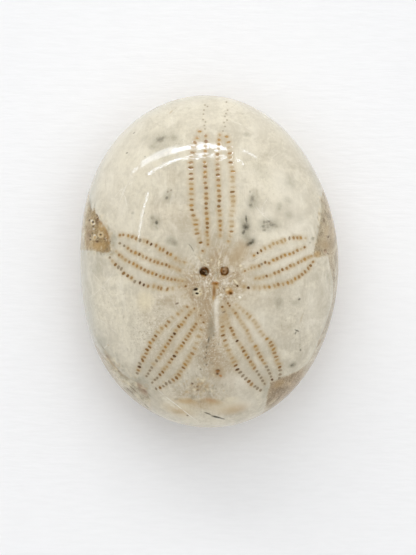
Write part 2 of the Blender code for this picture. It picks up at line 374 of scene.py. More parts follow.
HEART = (213.5, 281)  # where the petals meet
slits = []  # (spot, darkness, greyness, cover, stain)
for petal in PETALS.values():
    axis = Vector(petal["axis"]).normalized()
    for half_long, half_short, knots, fillings in petal["rows"]:
        chain = slits_of(knots)
        if len(chain) != len(fillings):
            raise ValueError(f"{len(chain)} slits, {len(fillings)} fillings: {fillings}")
        ends = sorted((chain[0][:2], chain[-1][:2]), key=lambda p: math.dist(p, HEART))
        for (x, y, dx, dy), filling in zip(chain, fillings):
            turn, wide, long_ = rng.gauss(0, 7), rng.uniform(0.86, 1.12), rng.uniform(0.86, 1.14)
            shift = rng.gauss(0, 0.15), rng.gauss(0, 0.15)
            if filling == "x":
                continue
            if dx * axis.x + dy * axis.y < 0:
                dx, dy = -dx, -dy
            way = (Vector((dx, dy)) * 0.55 + axis * 0.45).normalized()
            across = math.degrees(math.atan2(way.x, -way.y))
            # the slits shrink to round pores at both ends of a row
            inner = max(0.0, 1 - math.dist((x, y), ends[0]) / 18)
            outer = max(0.0, 1 - math.dist((x, y), ends[1]) / 13)
            small = 0.9 if filling == "f" else 1.0
            spot = Spot.in_view(
                x + shift[0],
                y + shift[1],
                half_long * wide * small * (1 - 0.30 * outer - 0.38 * inner),
                half_short * long_ * small * (1 + 0.04 * outer - 0.12 * inner),
                across + turn,
            )
            slits.append((spot, *FILLINGS[filling]))

# Past each petal's end the pores go on as two lines of single dots, over the side to the underside.
DOTS = [
    (203, 119.5), (203.5, 114), (205, 105), (205.5, 122), (205, 129), (207.5, 106.5), (204, 110),
    (223, 131), (220, 135), (225, 126.5), (225, 116.5), (227, 120), (227.5, 110), (226.5, 102),
    (226, 113.5), (224, 122.5), (204.4, 125.5),
]  # fmt: skip
for x, y in DOTS:
    slits.append((Spot.in_view(x, y, 0.85, 0.85, 0), *FILLINGS["p"]))
LOWER = (  # degrees from the rear at the rim and at the mouth, where the line starts in mm below the rim
    (180, 180, -1.5),
    (98, 108, 0.6),
    (-100, -108, 0.6),
    (26, 36, 0.6),
    (-28, -36, 0.6),
)
MOUTH_RUN = float(np.interp(4.0, G, RUN)) - RIM_RUN
for rim_turn, mouth_turn, start in LOWER:
    for sign in (-1, 1):
        at = start + rng.uniform(0, 0.4)
        while at < MOUTH_RUN - 0.35:
            share = (at - start) / (MOUTH_RUN - start)
            half = (3.1 - 1.9 * smooth_(share / 0.8)) * sign  # mm from the line's middle
            radius = float(np.interp(RIM_RUN + at, RUN, RADIUS))
            towards = rim_turn + (mouth_turn - rim_turn) * smooth_(share)
            angle_ = towards + math.degrees(half / radius)
            near_mouth = max(0.0, 1 - (MOUTH_RUN - at) / 5.0)
            size = rng.uniform(0.85, 1.15) * (0.12 + 0.06 * near_mouth)
            filling = rng.choice("bdgdp") if near_mouth > 0 else rng.choice("ppgbt")
            slits.append((Spot.on_side(angle_ + rng.gauss(0, 0.5), at, 1.0, 1.1, size), *FILLINGS[filling]))
            if near_mouth > 0.1:
                inner_ = towards + math.degrees((abs(half) - 0.62) * sign / radius)
                slits.append((Spot.on_side(inner_, at + 0.2, 1.0, 1.1, size * 0.8), *FILLINGS[filling]))
            at += rng.uniform(1.15, 1.45) - 0.62 * near_mouth


# ---------------------------------------------------------------- marks
# Pigments: colour, and how much its edge is broken up.
PIGMENTS = {
    "X": ((0.018, 0.007, 0.0005), 0.4),  # deep black
    "K": ((0.036, 0.029, 0.012), 0.8),  # black mineral
    "B": ((0.085, 0.032, 0.005), 0.5),  # dark brown
    "R": ((0.36, 0.15, 0.025), 0.5),  # rust
    "O": ((0.44, 0.275, 0.095), 0.7),  # ochre
    "P": ((0.29, 0.165, 0.085), 0.6),  # pinkish brown
    "T": ((0.40, 0.295, 0.165), 1.0),  # tan
    "C": ((0.72, 0.645, 0.46), 0.9),  # cream
    "W": ((0.80, 0.765, 0.665), 0.6),  # white
    "G": ((0.205, 0.185, 0.125), 1.7),  # grey
}
# Single marks seen from above, painted in this order: pigment, x, y, half sizes in pixels, turn in
# degrees, strength, softness.
MARKS = [
    # the four pores in the middle
    ("B", 204.3, 271.6, 4.9, 5.1, 20, 1.0, 0.13),
    ("X", 203.0, 271.2, 3.6, 3.9, 10, 0.85, 0.35),
    ("B", 205.8, 268.6, 2.0, 1.0, 20, 0.7, 0.5),
    ("P", 203.4, 267.6, 2.0, 0.6, -12, 0.7, 0.5),
    ("P", 204.0, 271.0, 1.7, 0.55, 32, 0.55, 0.5),
    # painted highlight: the grey crescent on the lower right of the first pore
    ("G", 206.8, 273.6, 1.8, 0.9, 32, 0.75, 0.5),
    ("G", 206.4, 271.4, 1.3, 0.5, 40, 0.6, 0.5),
    ("X", 204.9, 274.4, 2.0, 0.5, 25, 0.8, 0.5),
    ("O", 203.8, 276.2, 3.0, 0.7, 20, 0.65, 0.45),
    ("B", 224.7, 271.1, 4.5, 4.7, 30, 1.0, 0.15),
    ("R", 226.8, 267.5, 1.9, 0.9, 30, 0.50, 0.6),
    ("R", 221.4, 270.0, 0.8, 2.4, 16, 0.45, 0.6),
    ("P", 224.5, 270.8, 2.4, 2.9, 25, 0.88, 0.30),
    ("B", 224.2, 271.2, 1.9, 1.3, 20, 0.35, 0.8),
    ("T", 224.0, 269.0, 1.3, 1.0, 0, 0.5, 0.5),
    ("T", 225.0, 272.6, 1.0, 0.8, 0, 0.5, 0.5),
    ("B", 223.6, 271.2, 1.1, 0.8, 0, 1.0, 0.5),
    ("B", 222.4, 274.2, 1.7, 1.2, 35, 0.9, 0.5),
    ("X", 227.4, 268.2, 1.2, 0.7, 60, 0.7, 0.5),
    ("B", 222.0, 267.4, 1.2, 0.7, -40, 0.9, 0.5),
    ("O", 223.6, 276.0, 2.5, 0.7, 10, 0.6, 0.45),
    # the sieve plate between them, and its stem
    ("O", 215.4, 286.4, 3.2, 2.6, 0, 0.75, 0.6),
    ("R", 215.3, 283.4, 3.1, 1.8, -4, 1.0, 0.6),
    ("B", 215.4, 283.9, 2.2, 1.1, 4, 0.62, 0.7),
    ("R", 214.3, 288.2, 1.0, 2.0, 0, 0.5, 0.5),
    ("T", 214.0, 292.0, 2.5, 6.8, 2, 0.85, 0.6),
    ("R", 214.0, 291.6, 1.3, 4.8, 3, 0.55, 0.8),
    ("B", 214.0, 291.6, 1.2, 4.4, 3, 0.46, 0.8),
    ("O", 213.5, 298.0, 1.1, 2.2, 0, 0.6, 0.6),
    ("G", 193.1, 292.0, 0.8, 3.4, 0, 0.5, 0.5),
    ("C", 197.7, 291.9, 4.4, 4.4, 0, 0.85, 0.35),
    ("T", 200.8, 290.4, 1.6, 1.4, 0, 0.5, 0.6),
    ("B", 195.6, 289.6, 2.3, 1.5, -12, 0.6, 0.6),
    ("X", 195.8, 289.2, 2.25, 1.4, -12, 1.0, 0.3),
    ("X", 197.0, 293.4, 1.9, 1.15, 4, 1.0, 0.35),
    ("B", 199.9, 291.6, 0.7, 0.6, 0, 0.8, 0.5),
    ("O", 200.6, 294.0, 1.4, 0.9, -30, 0.4, 0.6),
    ("G", 194.4, 293.2, 1.0, 1.8, 0, 0.35, 0.6),
    ("O", 229.3, 291.4, 3.9, 3.9, 0, 0.75, 0.45),
    # painted highlight: the pale spot at the upper left of the ochre plug
    ("C", 227.6, 289.6, 1.9, 1.2, -20, 0.7, 0.5),
    ("R", 230.2, 292.4, 2.6, 2.1, 10, 0.7, 0.7),
    ("B", 230.7, 293.3, 1.9, 1.4, 10, 0.95, 0.6),
    ("B", 229.0, 291.6, 0.7, 0.5, 0, 0.5, 0.5),
    ("B", 223.9, 288.7, 1.0, 0.9, 0, 0.8, 0.5),
    ("T", 223.9, 288.7, 0.4, 0.4, 0, 0.6, 0.5),
    # grey-white plates and crystals round them
    ("W", 198.4, 264.4, 2.4, 4.2, -10, 0.38, 0.8),
    ("W", 225.8, 261.0, 2.4, 4.6, 12, 0.42, 0.8),
    ("W", 231.8, 269.8, 2.2, 3.4, 0, 0.40, 0.8),
    ("W", 225.6, 282.0, 2.6, 4.0, 10, 0.42, 0.8),
    ("W", 204.8, 284.2, 2.6, 2.4, 0, 0.40, 0.8),
    ("W", 216.8, 302.4, 2.6, 3.4, 0, 0.50, 0.8),
    ("G", 216.4, 273.8, 2.6, 4.0, 0, 0.28, 0.9),
    ("W", 210.5, 274.1, 1.1, 0.9, 0, 0.95, 0.4),
    ("W", 221.0, 294.8, 1.4, 1.3, 0, 0.85, 0.5),
    ("W", 239.8, 297.2, 1.5, 1.1, 20, 1.0, 0.4),
    ("C", 240.5, 265.8, 1.3, 1.1, 0, 0.95, 0.45),
    ("C", 236.2, 282.2, 3.1, 1.0, 48, 0.85, 0.5),
    ("C", 234.6, 280.2, 1.6, 0.8, 30, 0.6, 0.5),
    ("W", 243.2, 280.6, 0.8, 0.7, 0, 0.7, 0.5),
    ("W", 232.0, 284.0, 0.7, 0.7, 0, 0.6, 0.5),
    ("C", 191.6, 275.8, 1.6, 0.8, 10, 0.7, 0.5),
    ("C", 202.2, 262.4, 1.2, 0.8, 20, 0.6, 0.5),
    ("C", 211.6, 259.8, 0.9, 0.8, 0, 0.6, 0.5),
    ("C", 219.2, 262.6, 0.9, 0.7, 0, 0.6, 0.5),
    ("B", 183.4, 261.4, 0.9, 0.6, 20, 0.5, 0.5),
    ("B", 208.0, 263.0, 0.6, 0.6, 0, 0.55, 0.5),
    ("B", 219.6, 259.2, 0.6, 0.6, 0, 0.55, 0.5),
    ("B", 212.8, 264.2, 0.5, 0.6, 0, 0.5, 0.5),
    ("B", 233.4, 272.4, 0.8, 0.6, 0, 0.6, 0.5),
    ("T", 233.8, 273.6, 1.5, 1.0, 0, 0.6, 0.5),
    ("B", 177.0, 303.5, 2.0, 0.9, -20, 0.75, 0.5),
    ("T", 184.8, 306.4, 2.4, 1.4, 10, 0.5, 0.6),
    ("B", 186.0, 286.1, 1.1, 0.9, 0, 0.75, 0.5),
    ("B", 235.6, 284.4, 0.8, 0.6, 30, 0.6, 0.5),
    ("K", 237.2, 285.7, 1.3, 0.9, 30, 0.95, 0.4),
    ("X", 248.4, 287.5, 1.2, 1.1, 0, 1.0, 0.4),
    ("K", 249.0, 288.8, 0.6, 0.7, 20, 0.8, 0.5),
    ("B", 244.9, 271.0, 1.0, 0.8, 0, 0.6, 0.5),
    ("B", 235.3, 313.3, 1.0, 0.8, 0, 0.6, 0.5),
    # grey and black mineral smudges
    ("G", 160.0, 139.0, 15.0, 8.5, -10, 0.34, 1.0),
    ("K", 159.8, 139.6, 3.4, 2.0, -8, 0.55, 0.8),
    ("K", 163.4, 137.4, 2.2, 1.2, -20, 0.40, 0.8),
    ("G", 151.6, 146.8, 3.0, 2.0, 0, 0.45, 0.9),
    ("G", 174.6, 137.6, 3.0, 2.4, 0, 0.4, 0.9),
    ("G", 167.8, 195.5, 4.4, 6.0, 10, 0.42, 0.9),
    ("K", 166.8, 197.9, 1.2, 1.5, 30, 0.55, 0.6),
    ("B", 171.3, 190.3, 0.9, 0.8, -30, 0.5, 0.6),
    ("B", 167.7, 191.8, 0.9, 0.7, 0, 0.5, 0.6),
    ("G", 155.6, 222.0, 5.4, 7.0, 0, 0.48, 0.9),
    ("K", 156.6, 222.6, 1.4, 2.0, 0, 0.75, 0.6),
    ("K", 156.8, 228.0, 0.7, 2.2, 0, 0.35, 0.7),
    ("G", 152.2, 217.8, 1.8, 1.8, 0, 0.5, 0.8),
    ("G", 171.0, 240.6, 4.5, 4.0, 0, 0.5, 0.9),
    ("G", 175.0, 243.6, 3.0, 2.6, 20, 0.5, 0.8),
    ("G", 132.4, 213.4, 1.6, 1.4, 0, 0.35, 0.8),
    ("G", 253.0, 200.6, 5.6, 9.6, 8, 0.48, 0.9),
    ("K", 252.0, 198.4, 1.5, 2.6, 8, 0.55, 0.7),
    ("K", 250.4, 205.4, 1.7, 1.5, 0, 0.55, 0.7),
    ("K", 250.0, 191.6, 0.8, 1.0, 0, 0.4, 0.7),
    ("G", 246.0, 225.0, 5.6, 9.0, 0, 0.55, 0.9),
    ("K", 246.2, 219.0, 0.9, 3.6, -4, 0.75, 0.6),
    ("K", 246.0, 227.0, 3.2, 2.8, 0, 0.82, 0.7),
    ("K", 243.6, 232.2, 1.5, 2.2, 20, 0.75, 0.6),
    ("G", 246.0, 236.4, 3.4, 3.4, 0, 0.42, 0.9),
    ("G", 250.6, 241.6, 6.2, 4.4, -25, 0.62, 0.8),
    ("K", 250.2, 243.2, 4.2, 1.7, -32, 0.85, 0.6),
    ("K", 252.6, 239.8, 1.6, 0.9, -35, 0.5, 0.7),
    ("G", 268.6, 224.6, 10.0, 6.4, 0, 0.55, 0.8),
    ("K", 263.4, 226.6, 1.6, 1.4, 0, 0.55, 0.7),
    ("K", 264.2, 222.0, 1.5, 1.2, 0, 0.50, 0.7),
    ("K", 268.4, 221.4, 1.9, 1.0, -15, 0.58, 0.7),
    ("K", 271.6, 224.6, 2.2, 1.2, 10, 0.62, 0.7),
    ("K", 275.6, 225.6, 1.9, 1.0, 12, 0.50, 0.7),
    ("K", 264.2, 230.0, 1.7, 1.0, 15, 0.58, 0.7),
    ("K", 267.6, 226.8, 1.2, 0.9, 0, 0.45, 0.7),
    ("G", 284.0, 207.0, 9.0, 11.0, -20, 0.14, 0.95),
    ("G", 279.4, 207.0, 2.2, 4.0, 10, 0.40, 0.8),
    ("G", 288.0, 200.4, 4.2, 3.0, 30, 0.36, 0.8),
    ("G", 289.6, 215.0, 4.0, 3.6, 0, 0.30, 0.9),
    ("G", 300.0, 219.0, 5.0, 5.0, 0, 0.20, 0.9),
    ("G", 290.4, 180.0, 4.4, 8.0, -20, 0.20, 0.9),
    ("K", 263.6, 178.4, 1.0, 0.7, 0, 0.5, 0.7),
    ("G", 260.0, 169.0, 7.0, 10.0, -40, 0.22, 0.95),
    ("G", 246.6, 134.5, 3.6, 2.4, 10, 0.40, 0.8),
    ("K", 299.4, 299.2, 1.4, 0.9, -25, 0.8, 0.5),
    ("G", 295.0, 303.0, 4.0, 3.0, 0, 0.35, 0.9),
    ("K", 297.0, 330.6, 2.4, 0.7, 25, 0.8, 0.4),
    ("K", 295.6, 333.0, 0.8, 1.8, 20, 0.6, 0.4),
    ("K", 300.5, 350.0, 0.8, 1.2, 0, 0.65, 0.5),
    ("T", 301.2, 319.5, 0.8, 5.5, 18, 0.45, 0.8),
    ("G", 292.8, 365.0, 4.2, 2.0, -28, 0.7, 0.7),
    ("K", 292.0, 365.4, 1.5, 0.7, -28, 0.5, 0.6),
    ("G", 279.0, 302.5, 4.0, 6.0, 0, 0.4, 0.9),
    ("K", 192.6, 295.2, 0.6, 0.6, 0, 0.5, 0.6),
    ("K", 127.0, 153.0, 1.2, 0.7, -30, 0.6, 0.5),
    ("K", 134.0, 133.0, 1.5, 0.6, -40, 0.5, 0.5),
    ("K", 145.0, 156.5, 0.6, 0.6, 0, 0.6, 0.5),
    ("G", 133.0, 212.5, 1.5, 1.2, 0, 0.25, 0.8),
    ("T", 171.0, 112.0, 2.6, 0.8, -45, 0.5, 0.6),
    # yellowish patches
    ("C", 145.0, 301.0, 8.0, 10.0, 0, 0.60, 0.6),
    # pale band and grey streak behind the middle
    ("G", 211.2, 326.0, 3.2, 13.0, 3, 0.42, 0.8),
    ("G", 211.6, 331.0, 4.6, 6.0, 0, 0.35, 0.9),
    ("G", 205.6, 358.0, 7.0, 10.0, 0, 0.22, 0.9),
    ("W", 216.0, 307.0, 2.3, 7.0, 0, 0.5, 0.7),
    ("W", 216.9, 324.0, 2.3, 13.0, -3, 0.48, 0.7),
    ("K", 208.6, 340.0, 0.8, 3.0, 12, 0.75, 0.5),
    ("K", 206.8, 347.0, 0.6, 1.4, 10, 0.7, 0.5),
    ("K", 206.3, 352.8, 0.7, 1.0, 0, 0.7, 0.5),
    ("K", 205.4, 357.4, 0.7, 0.9, 0, 0.7, 0.5),
    ("K", 206.4, 364.5, 0.9, 0.8, 0, 0.7, 0.5),
    ("K", 200.7, 369.2, 0.9, 0.8, 0, 0.7, 0.5),
    ("K", 213.8, 335.2, 0.9, 0.7, 0, 0.6, 0.5),
    ("K", 214.1, 346.4, 0.8, 0.7, 0, 0.6, 0.5),
    ("K", 218.5, 344.0, 0.8, 0.7, 0, 0.6, 0.5),
    ("G", 206.0, 345.0, 6.0, 4.0, 0, 0.3, 0.9),
    # rear: brown-red spot, ring cluster, streaks
    ("T", 218.0, 372.5, 6.5, 6.0, 0, 0.72, 0.8),
    ("B", 217.9, 370.6, 2.2, 1.5, 0, 0.9, 0.45),
    ("B", 217.4, 373.6, 1.5, 1.3, 0, 0.85, 0.45),
    ("R", 220.6, 375.8, 1.6, 1.1, 30, 0.8, 0.45),
    ("R", 217.7, 371.4, 2.2, 1.4, 0, 0.5, 0.6),
    ("T", 199.0, 385.5, 9.5, 7.0, 10, 0.45, 0.8),
    ("B", 192.2, 383.6, 1.3, 1.0, 0, 0.8, 0.45),
    ("B", 197.4, 386.6, 1.2, 0.9, 0, 0.7, 0.45),
    ("B", 197.7, 390.0, 1.4, 1.0, 0, 0.6, 0.45),
    ("C", 202.1, 380.6, 2.4, 1.6, 20, 0.7, 0.4),
    ("T", 206.4, 386.6, 1.9, 1.4, 0, 0.7, 0.4),
    ("C", 194.6, 389.6, 2.0, 1.3, 0, 0.6, 0.4),
    ("G", 193.7, 396.7, 4.5, 1.5, 10, 0.45, 0.7),
    ("G", 199.0, 401.4, 5.0, 1.3, 8, 0.4, 0.7),
    ("C", 180.0, 408.0, 15.0, 7.0, 14, 0.50, 0.9),
    ("C", 224.0, 407.0, 17.0, 6.0, -8, 0.45, 0.9),
    ("O", 212.0, 401.4, 9.0, 2.6, 8, 0.56, 0.8),
    ("R", 210.0, 399.8, 5.0, 1.4, 10, 0.42, 0.8),
    ("R", 236.0, 409.6, 9.0, 3.0, -14, 0.16, 1.0),
    ("R", 180.0, 411.0, 6.0, 1.8, 16, 0.20, 0.9),
    ("O", 186.0, 401.0, 10.0, 2.6, 2, 0.60, 0.8),
    ("O", 199.0, 405.4, 14.0, 3.0, 6, 0.25, 0.9),
    ("O", 233.0, 409.6, 15.0, 4.4, -12, 0.34, 1.0),
    ("O", 178.0, 411.0, 13.0, 3.8, 16, 0.36, 1.0),
    ("T", 176.8, 412.3, 4.0, 1.6, 0, 0.5, 0.7),
    ("K", 207.8, 413.5, 3.8, 0.6, 20, 0.85, 0.5),
    ("K", 216.5, 417.0, 5.2, 0.9, 14, 0.95, 0.45),
    ("K", 222.5, 418.6, 2.6, 0.6, 14, 0.7, 0.5),
    ("B", 187.5, 415.5, 1.1, 0.7, 8, 0.7, 0.5),
    ("W", 226.0, 345.0, 0.8, 0.9, 0, 0.8, 0.5),
    ("W", 229.0, 349.0, 0.8, 0.9, 0, 0.8, 0.5),
    ("W", 231.0, 353.0, 0.8, 0.9, 0, 0.8, 0.5),
    ("W", 232.0, 358.0, 0.8, 0.9, 0, 0.8, 0.5),
    ("C", 231.0, 399.0, 7.0, 2.0, -5, 0.4, 0.7),
    # left patch of brown filling
    ("O", 103.5, 233.0, 6.0, 9.0, -24, 0.45, 0.6),
    ("O", 99.0, 246.0, 9.0, 4.0, 4, 0.55, 0.6),
    ("B", 97.6, 219.0, 1.0, 4.0, -8, 0.55, 0.6),
    ("O", 102.6, 226.0, 1.3, 6.0, -38, 0.5, 0.6),
    ("B", 107.6, 239.0, 1.2, 8.0, -6, 0.30, 0.8),
    ("C", 92.6, 222.4, 2.4, 2.7, 0, 0.52, 0.40),
    ("C", 94.4, 237.2, 2.1, 2.6, 0, 0.52, 0.4),
    ("P", 87.6, 236.0, 2.6, 12.0, 2, 0.35, 0.8),
    ("O", 92.6, 222.2, 1.7, 1.9, 0, 0.7, 0.4),
    ("W", 91.4, 220.6, 1.2, 0.8, -40, 0.7, 0.5),
    ("W", 93.8, 223.8, 1.0, 0.8, -40, 0.6, 0.5),
    ("X", 92.7, 222.0, 1.0, 1.2, 0, 1.0, 0.4),
    ("B", 89.0, 220.6, 1.2, 1.8, 0, 0.5, 0.7),
    ("B", 96.0, 221.6, 1.1, 3.4, -18, 0.6, 0.7),
    ("W", 93.4, 229.0, 1.0, 1.0, 0, 0.45, 0.6),
    ("B", 89.6, 233.6, 3.0, 2.2, -30, 0.42, 0.8),
    ("X", 92.8, 226.2, 1.1, 0.9, 0, 0.75, 0.45),
    ("C", 100.3, 234.8, 3.1, 3.0, 0, 0.55, 0.35),
    ("O", 100.3, 234.8, 2.2, 2.1, 0, 0.7, 0.4),
    ("X", 100.4, 234.6, 1.2, 1.0, 0, 0.85, 0.4),
    ("B", 96.9, 241.5, 1.5, 1.0, 0, 0.9, 0.5),
    ("X", 90.2, 239.5, 1.0, 0.8, 0, 0.75, 0.45),
    ("X", 90.0, 236.2, 0.8, 0.7, 0, 0.7, 0.45),
    ("X", 91.8, 233.4, 0.9, 0.7, 0, 0.75, 0.45),
    ("X", 89.2, 220.1, 0.7, 0.9, 0, 0.7, 0.45),
    ("O", 94.6, 237.4, 1.1, 1.8, 10, 0.8, 0.4),
    ("W", 94.2, 235.0, 1.2, 0.7, 0, 0.6, 0.5),
    ("B", 96.8, 219.4, 0.7, 2.0, 0, 0.7, 0.5),
    ("B", 104.5, 239.0, 1.4, 1.0, 0, 0.7, 0.5),
    ("G", 113.6, 242.0, 3.4, 9.0, 0, 0.42, 0.9),
    ("R", 101.6, 223.4, 1.0, 5.0, -36, 0.40, 0.7),
    ("R", 107.0, 237.6, 1.2, 6.0, -14, 0.28, 0.8),
    ("B", 97.4, 216.8, 0.9, 3.0, -20, 0.75, 0.6),
    ("B", 100.4, 222.8, 0.7, 4.4, -32, 0.50, 0.7),
    ("B", 106.0, 239.0, 1.4, 7.0, -10, 0.32, 0.9),
    ("G", 94.6, 206.0, 0.8, 4.0, 6, 0.45, 0.8),
    ("G", 90.4, 205.0, 1.0, 7.0, -4, 0.6, 0.8),
    ("T", 111.6, 233.4, 1.3, 1.0, 30, 0.5, 0.8),
    ("G", 109.4, 228.6, 1.6, 0.8, 40, 0.45, 0.8),
    ("B", 112.4, 238.0, 0.7, 0.6, 0, 0.4, 0.8),
    ("T", 113.2, 246.0, 1.2, 2.0, 0, 0.35, 0.9),
    ("B", 108.6, 250.6, 2.6, 0.8, 8, 0.4, 0.8),
    ("G", 105.0, 254.0, 8.0, 1.6, 5, 0.45, 0.9),
    # right patch
    ("T", 323.0, 243.0, 7.0, 6.0, 0, 0.35, 0.8),
    ("O", 317.4, 254.0, 3.6, 3.0, -10, 0.6, 0.6),
    ("T", 326.8, 245.4, 3.4, 4.0, 0, 0.55, 0.8),
    ("C", 322.6, 208.0, 2.6, 12.0, 4, 0.30, 0.9),
    ("C", 322.0, 230.0, 2.6, 8.0, 0, 0.08, 0.9),
    ("T", 327.4, 230.0, 2.6, 6.0, 0, 0.45, 0.8),
    ("T", 333.0, 236.0, 2.0, 16.0, 0, 0.45, 0.8),
    ("T", 319.6, 342.4, 1.4, 3.6, 25, 0.6, 0.8),
    ("C", 319.8, 213.0, 1.2, 8.0, 6, 0.35, 0.9),
    ("G", 318.0, 232.0, 1.3, 5.0, 10, 0.25, 0.9),
    ("P", 325.8, 251.4, 1.8, 2.2, -20, 0.5, 0.5),
    ("B", 325.2, 250.2, 0.8, 1.3, 20, 0.55, 0.5),
    ("B", 328.2, 253.4, 0.9, 0.6, 0, 0.5, 0.5),
    ("B", 320.4, 253.6, 0.6, 1.4, 0, 0.5, 0.5),
    # painted highlights: white streaks along the right edge
    ("W", 328.9, 264.0, 0.7, 8.0, -9, 0.4, 0.6),
    ("W", 327.4, 284.0, 1.6, 14.0, -2, 0.22, 0.9),
    ("G", 327.6, 276.0, 1.2, 3.6, 0, 0.35, 0.7),
    ("G", 322.0, 206.0, 1.0, 10.0, 3, 0.4, 0.8),
    ("B", 324.4, 220.2, 0.8, 2.2, 0, 0.6, 0.5),
    ("B", 328.7, 236.8, 0.9, 1.3, 0, 0.7, 0.5),
    ("C", 328.0, 223.6, 0.8, 2.6, 10, 0.3, 0.5),
    ("W", 332.6, 209.0, 0.9, 6.0, -12, 0.4, 0.5),
    ("G", 304.4, 247.2, 1.0, 0.8, 0, 0.7, 0.5),
    ("G", 312.6, 238.5, 1.5, 1.8, 0, 0.6, 0.6),
    ("G", 310.0, 242.6, 1.1, 0.9, 0, 0.6, 0.6),
    # lower right patch
    ("G", 265.0, 392.0, 3.0, 8.0, 8, 0.34, 0.9),
    ("T", 264.0, 380.0, 3.4, 4.0, 0, 0.35, 0.9),
    ("B", 277.5, 388.5, 6.0, 4.0, -45, 0.28, 0.9),
    ("O", 279.0, 384.0, 6.0, 3.0, -30, 0.30, 0.8),
    ("C", 272.6, 402.4, 1.0, 6.5, 52, 0.35, 0.7),
    # lower left
    ("T", 110.5, 359.0, 9.0, 1.8, 54, 0.55, 0.8),
    ("B", 110.0, 360.2, 8.0, 0.8, 55, 0.34, 0.7),
    ("T", 119.6, 372.6, 6.0, 1.2, 48, 0.55, 0.7),
    ("B", 106.8, 356.6, 2.0, 0.8, 52, 0.4, 0.6),
    ("B", 118.4, 371.0, 1.8, 0.8, 52, 0.35, 0.6),
    ("G", 127.0, 377.5, 9.0, 3.0, 32, 0.30, 0.9),
    ("C", 127.6, 383.4, 5.0, 1.4, 44, 0.5, 0.6),
    ("G", 141.0, 379.0, 6.0, 3.0, -10, 0.30, 0.9),
    ("P", 141.6, 389.0, 7.4, 3.4, 50, 0.66, 0.6),
    ("B", 145.0, 391.6, 3.0, 1.0, 46, 0.35, 0.6),
    ("B", 133.2, 389.6, 5.6, 0.6, 43, 0.55, 0.5),
    ("B", 130.6, 391.8, 3.6, 0.7, 40, 0.5, 0.5),
    ("B", 127.6, 389.2, 1.2, 0.6, 30, 0.6, 0.5),
    ("C", 138.4, 397.8, 6.0, 1.0, 40, 0.5, 0.6),
    ("O", 110.4, 362.4, 8.0, 0.9, 52, 0.35, 0.7),
    ("B", 119.8, 371.6, 1.6, 0.7, 40, 0.35, 0.5),
    ("K", 146.6, 406.6, 3.3, 0.6, 45, 0.6, 0.5),
    ("W", 106.4, 346.2, 3.6, 0.6, -40, 0.7, 0.4),
    ("G", 101.0, 341.6, 4.0, 7.0, -28, 0.36, 1.0),
    ("W", 169.0, 402.8, 11.0, 0.7, 39, 0.5, 0.5),
    ("K", 176.2, 399.0, 2.0, 1.2, 0, 0.3, 0.6),
    # the brown stain between the front and the right petal
    ("T", 240.0, 252.0, 9.0, 7.0, -45, 0.55, 0.9),
    ("T", 231.0, 262.0, 8.0, 5.0, -45, 0.4, 0.9),
]

# Fine tan and whitish streaks that run out from the middle between the petals, and grains at the rear.
for _ in range(150):
    angle_, away_ = rng.uniform(0, math.tau), 9 + 27 * rng.random() ** 0.8
    kind, strength = rng.choice((("T", 0.42), ("T", 0.5), ("P", 0.26), ("C", 0.5), ("W", 0.42), ("W", 0.3)))
    x, y = 214 + away_ * math.cos(angle_), 280 + away_ * 1.05 * math.sin(angle_)
    if min(math.dist((x, y), pore) for pore in ((204.3, 271.5), (224.7, 271), (197.5, 291.5), (229.8, 292))) < 7.5:
        continue
    long_ = rng.uniform(1.0, 4.2)
    MARKS.insert(0, (kind, x, y, long_, rng.uniform(0.45, 0.9), math.degrees(angle_) + rng.gauss(0, 12), strength, 0.8))
for _ in range(110):
    x, y = rng.gauss(199, 12), rng.gauss(388, 8)
    kind, strength = rng.choice((("T", 0.55), ("G", 0.45), ("B", 0.30), ("C", 0.6), ("O", 0.4)))
    MARKS.append((kind, x, min(y, 408), rng.uniform(0.6, 2.0), rng.uniform(0.5, 1.1), rng.gauss(10, 35), strength, 0.7))
for _ in range(60):
    x = rng.uniform(92, 150)
    y = 345 + (x - 95) * 0.93 + rng.gauss(0, 5)
    kind, strength = rng.choice((("G", 0.5), ("T", 0.5), ("C", 0.5), ("G", 0.4)))
    MARKS.append((kind, x, y, rng.uniform(0.8, 2.6), rng.uniform(0.5, 1.1), rng.gauss(45, 25), strength, 0.7))

for _ in range(230):
    x, y = rng.gauss(214, 15), rng.gauss(281, 13)
    kind, strength = rng.choice((("T", 0.5), ("P", 0.3), ("G", 0.32), ("C", 0.6), ("W", 0.5), ("C", 0.4)))
    if min(math.dist((x, y), pore) for pore in ((204.3, 271.5), (224.7, 271), (197.5, 291.5), (229.8, 292), (214, 290))) < 6.5:
        continue
    MARKS.insert(0, (kind, x, y, rng.uniform(0.5, 1.5), rng.uniform(0.4, 0.8), rng.uniform(0, 180), strength, 0.8))

for _ in range(130):
    along, side_ = rng.random(), rng.random()
    if side_ < 0.6:
        x, y = 100 + 13 * along + rng.gauss(0, 2.2), 214 + 40 * along + rng.gauss(0, 2.2)
    else:
        x, y = rng.uniform(88, 112), 252 + rng.gauss(0, 1.8)
    kind, strength = rng.choice((("T", 0.55), ("G", 0.5), ("B", 0.35), ("C", 0.45), ("O", 0.4), ("G", 0.4)))
    MARKS.append((kind, x, y, rng.uniform(0.5, 1.4), rng.uniform(0.4, 0.9), rng.uniform(0, 180), strength, 0.7))
for _ in range(110):
    x, y = rng.uniform(86, 110), rng.uniform(214, 252)
    if x > 97 + (y - 214) * 0.5 or min(math.dist((x, y), p) for p in ((92.6, 222.2), (100.3, 234.8), (94.6, 237))) < 3.4:
        continue
    kind, strength = rng.choice((("B", 0.5), ("B", 0.35), ("C", 0.45), ("O", 0.5), ("K", 0.3), ("T", 0.5)))
    MARKS.append((kind, x, y, rng.uniform(0.4, 1.0), rng.uniform(0.4, 0.7), rng.uniform(0, 180), strength, 0.7))
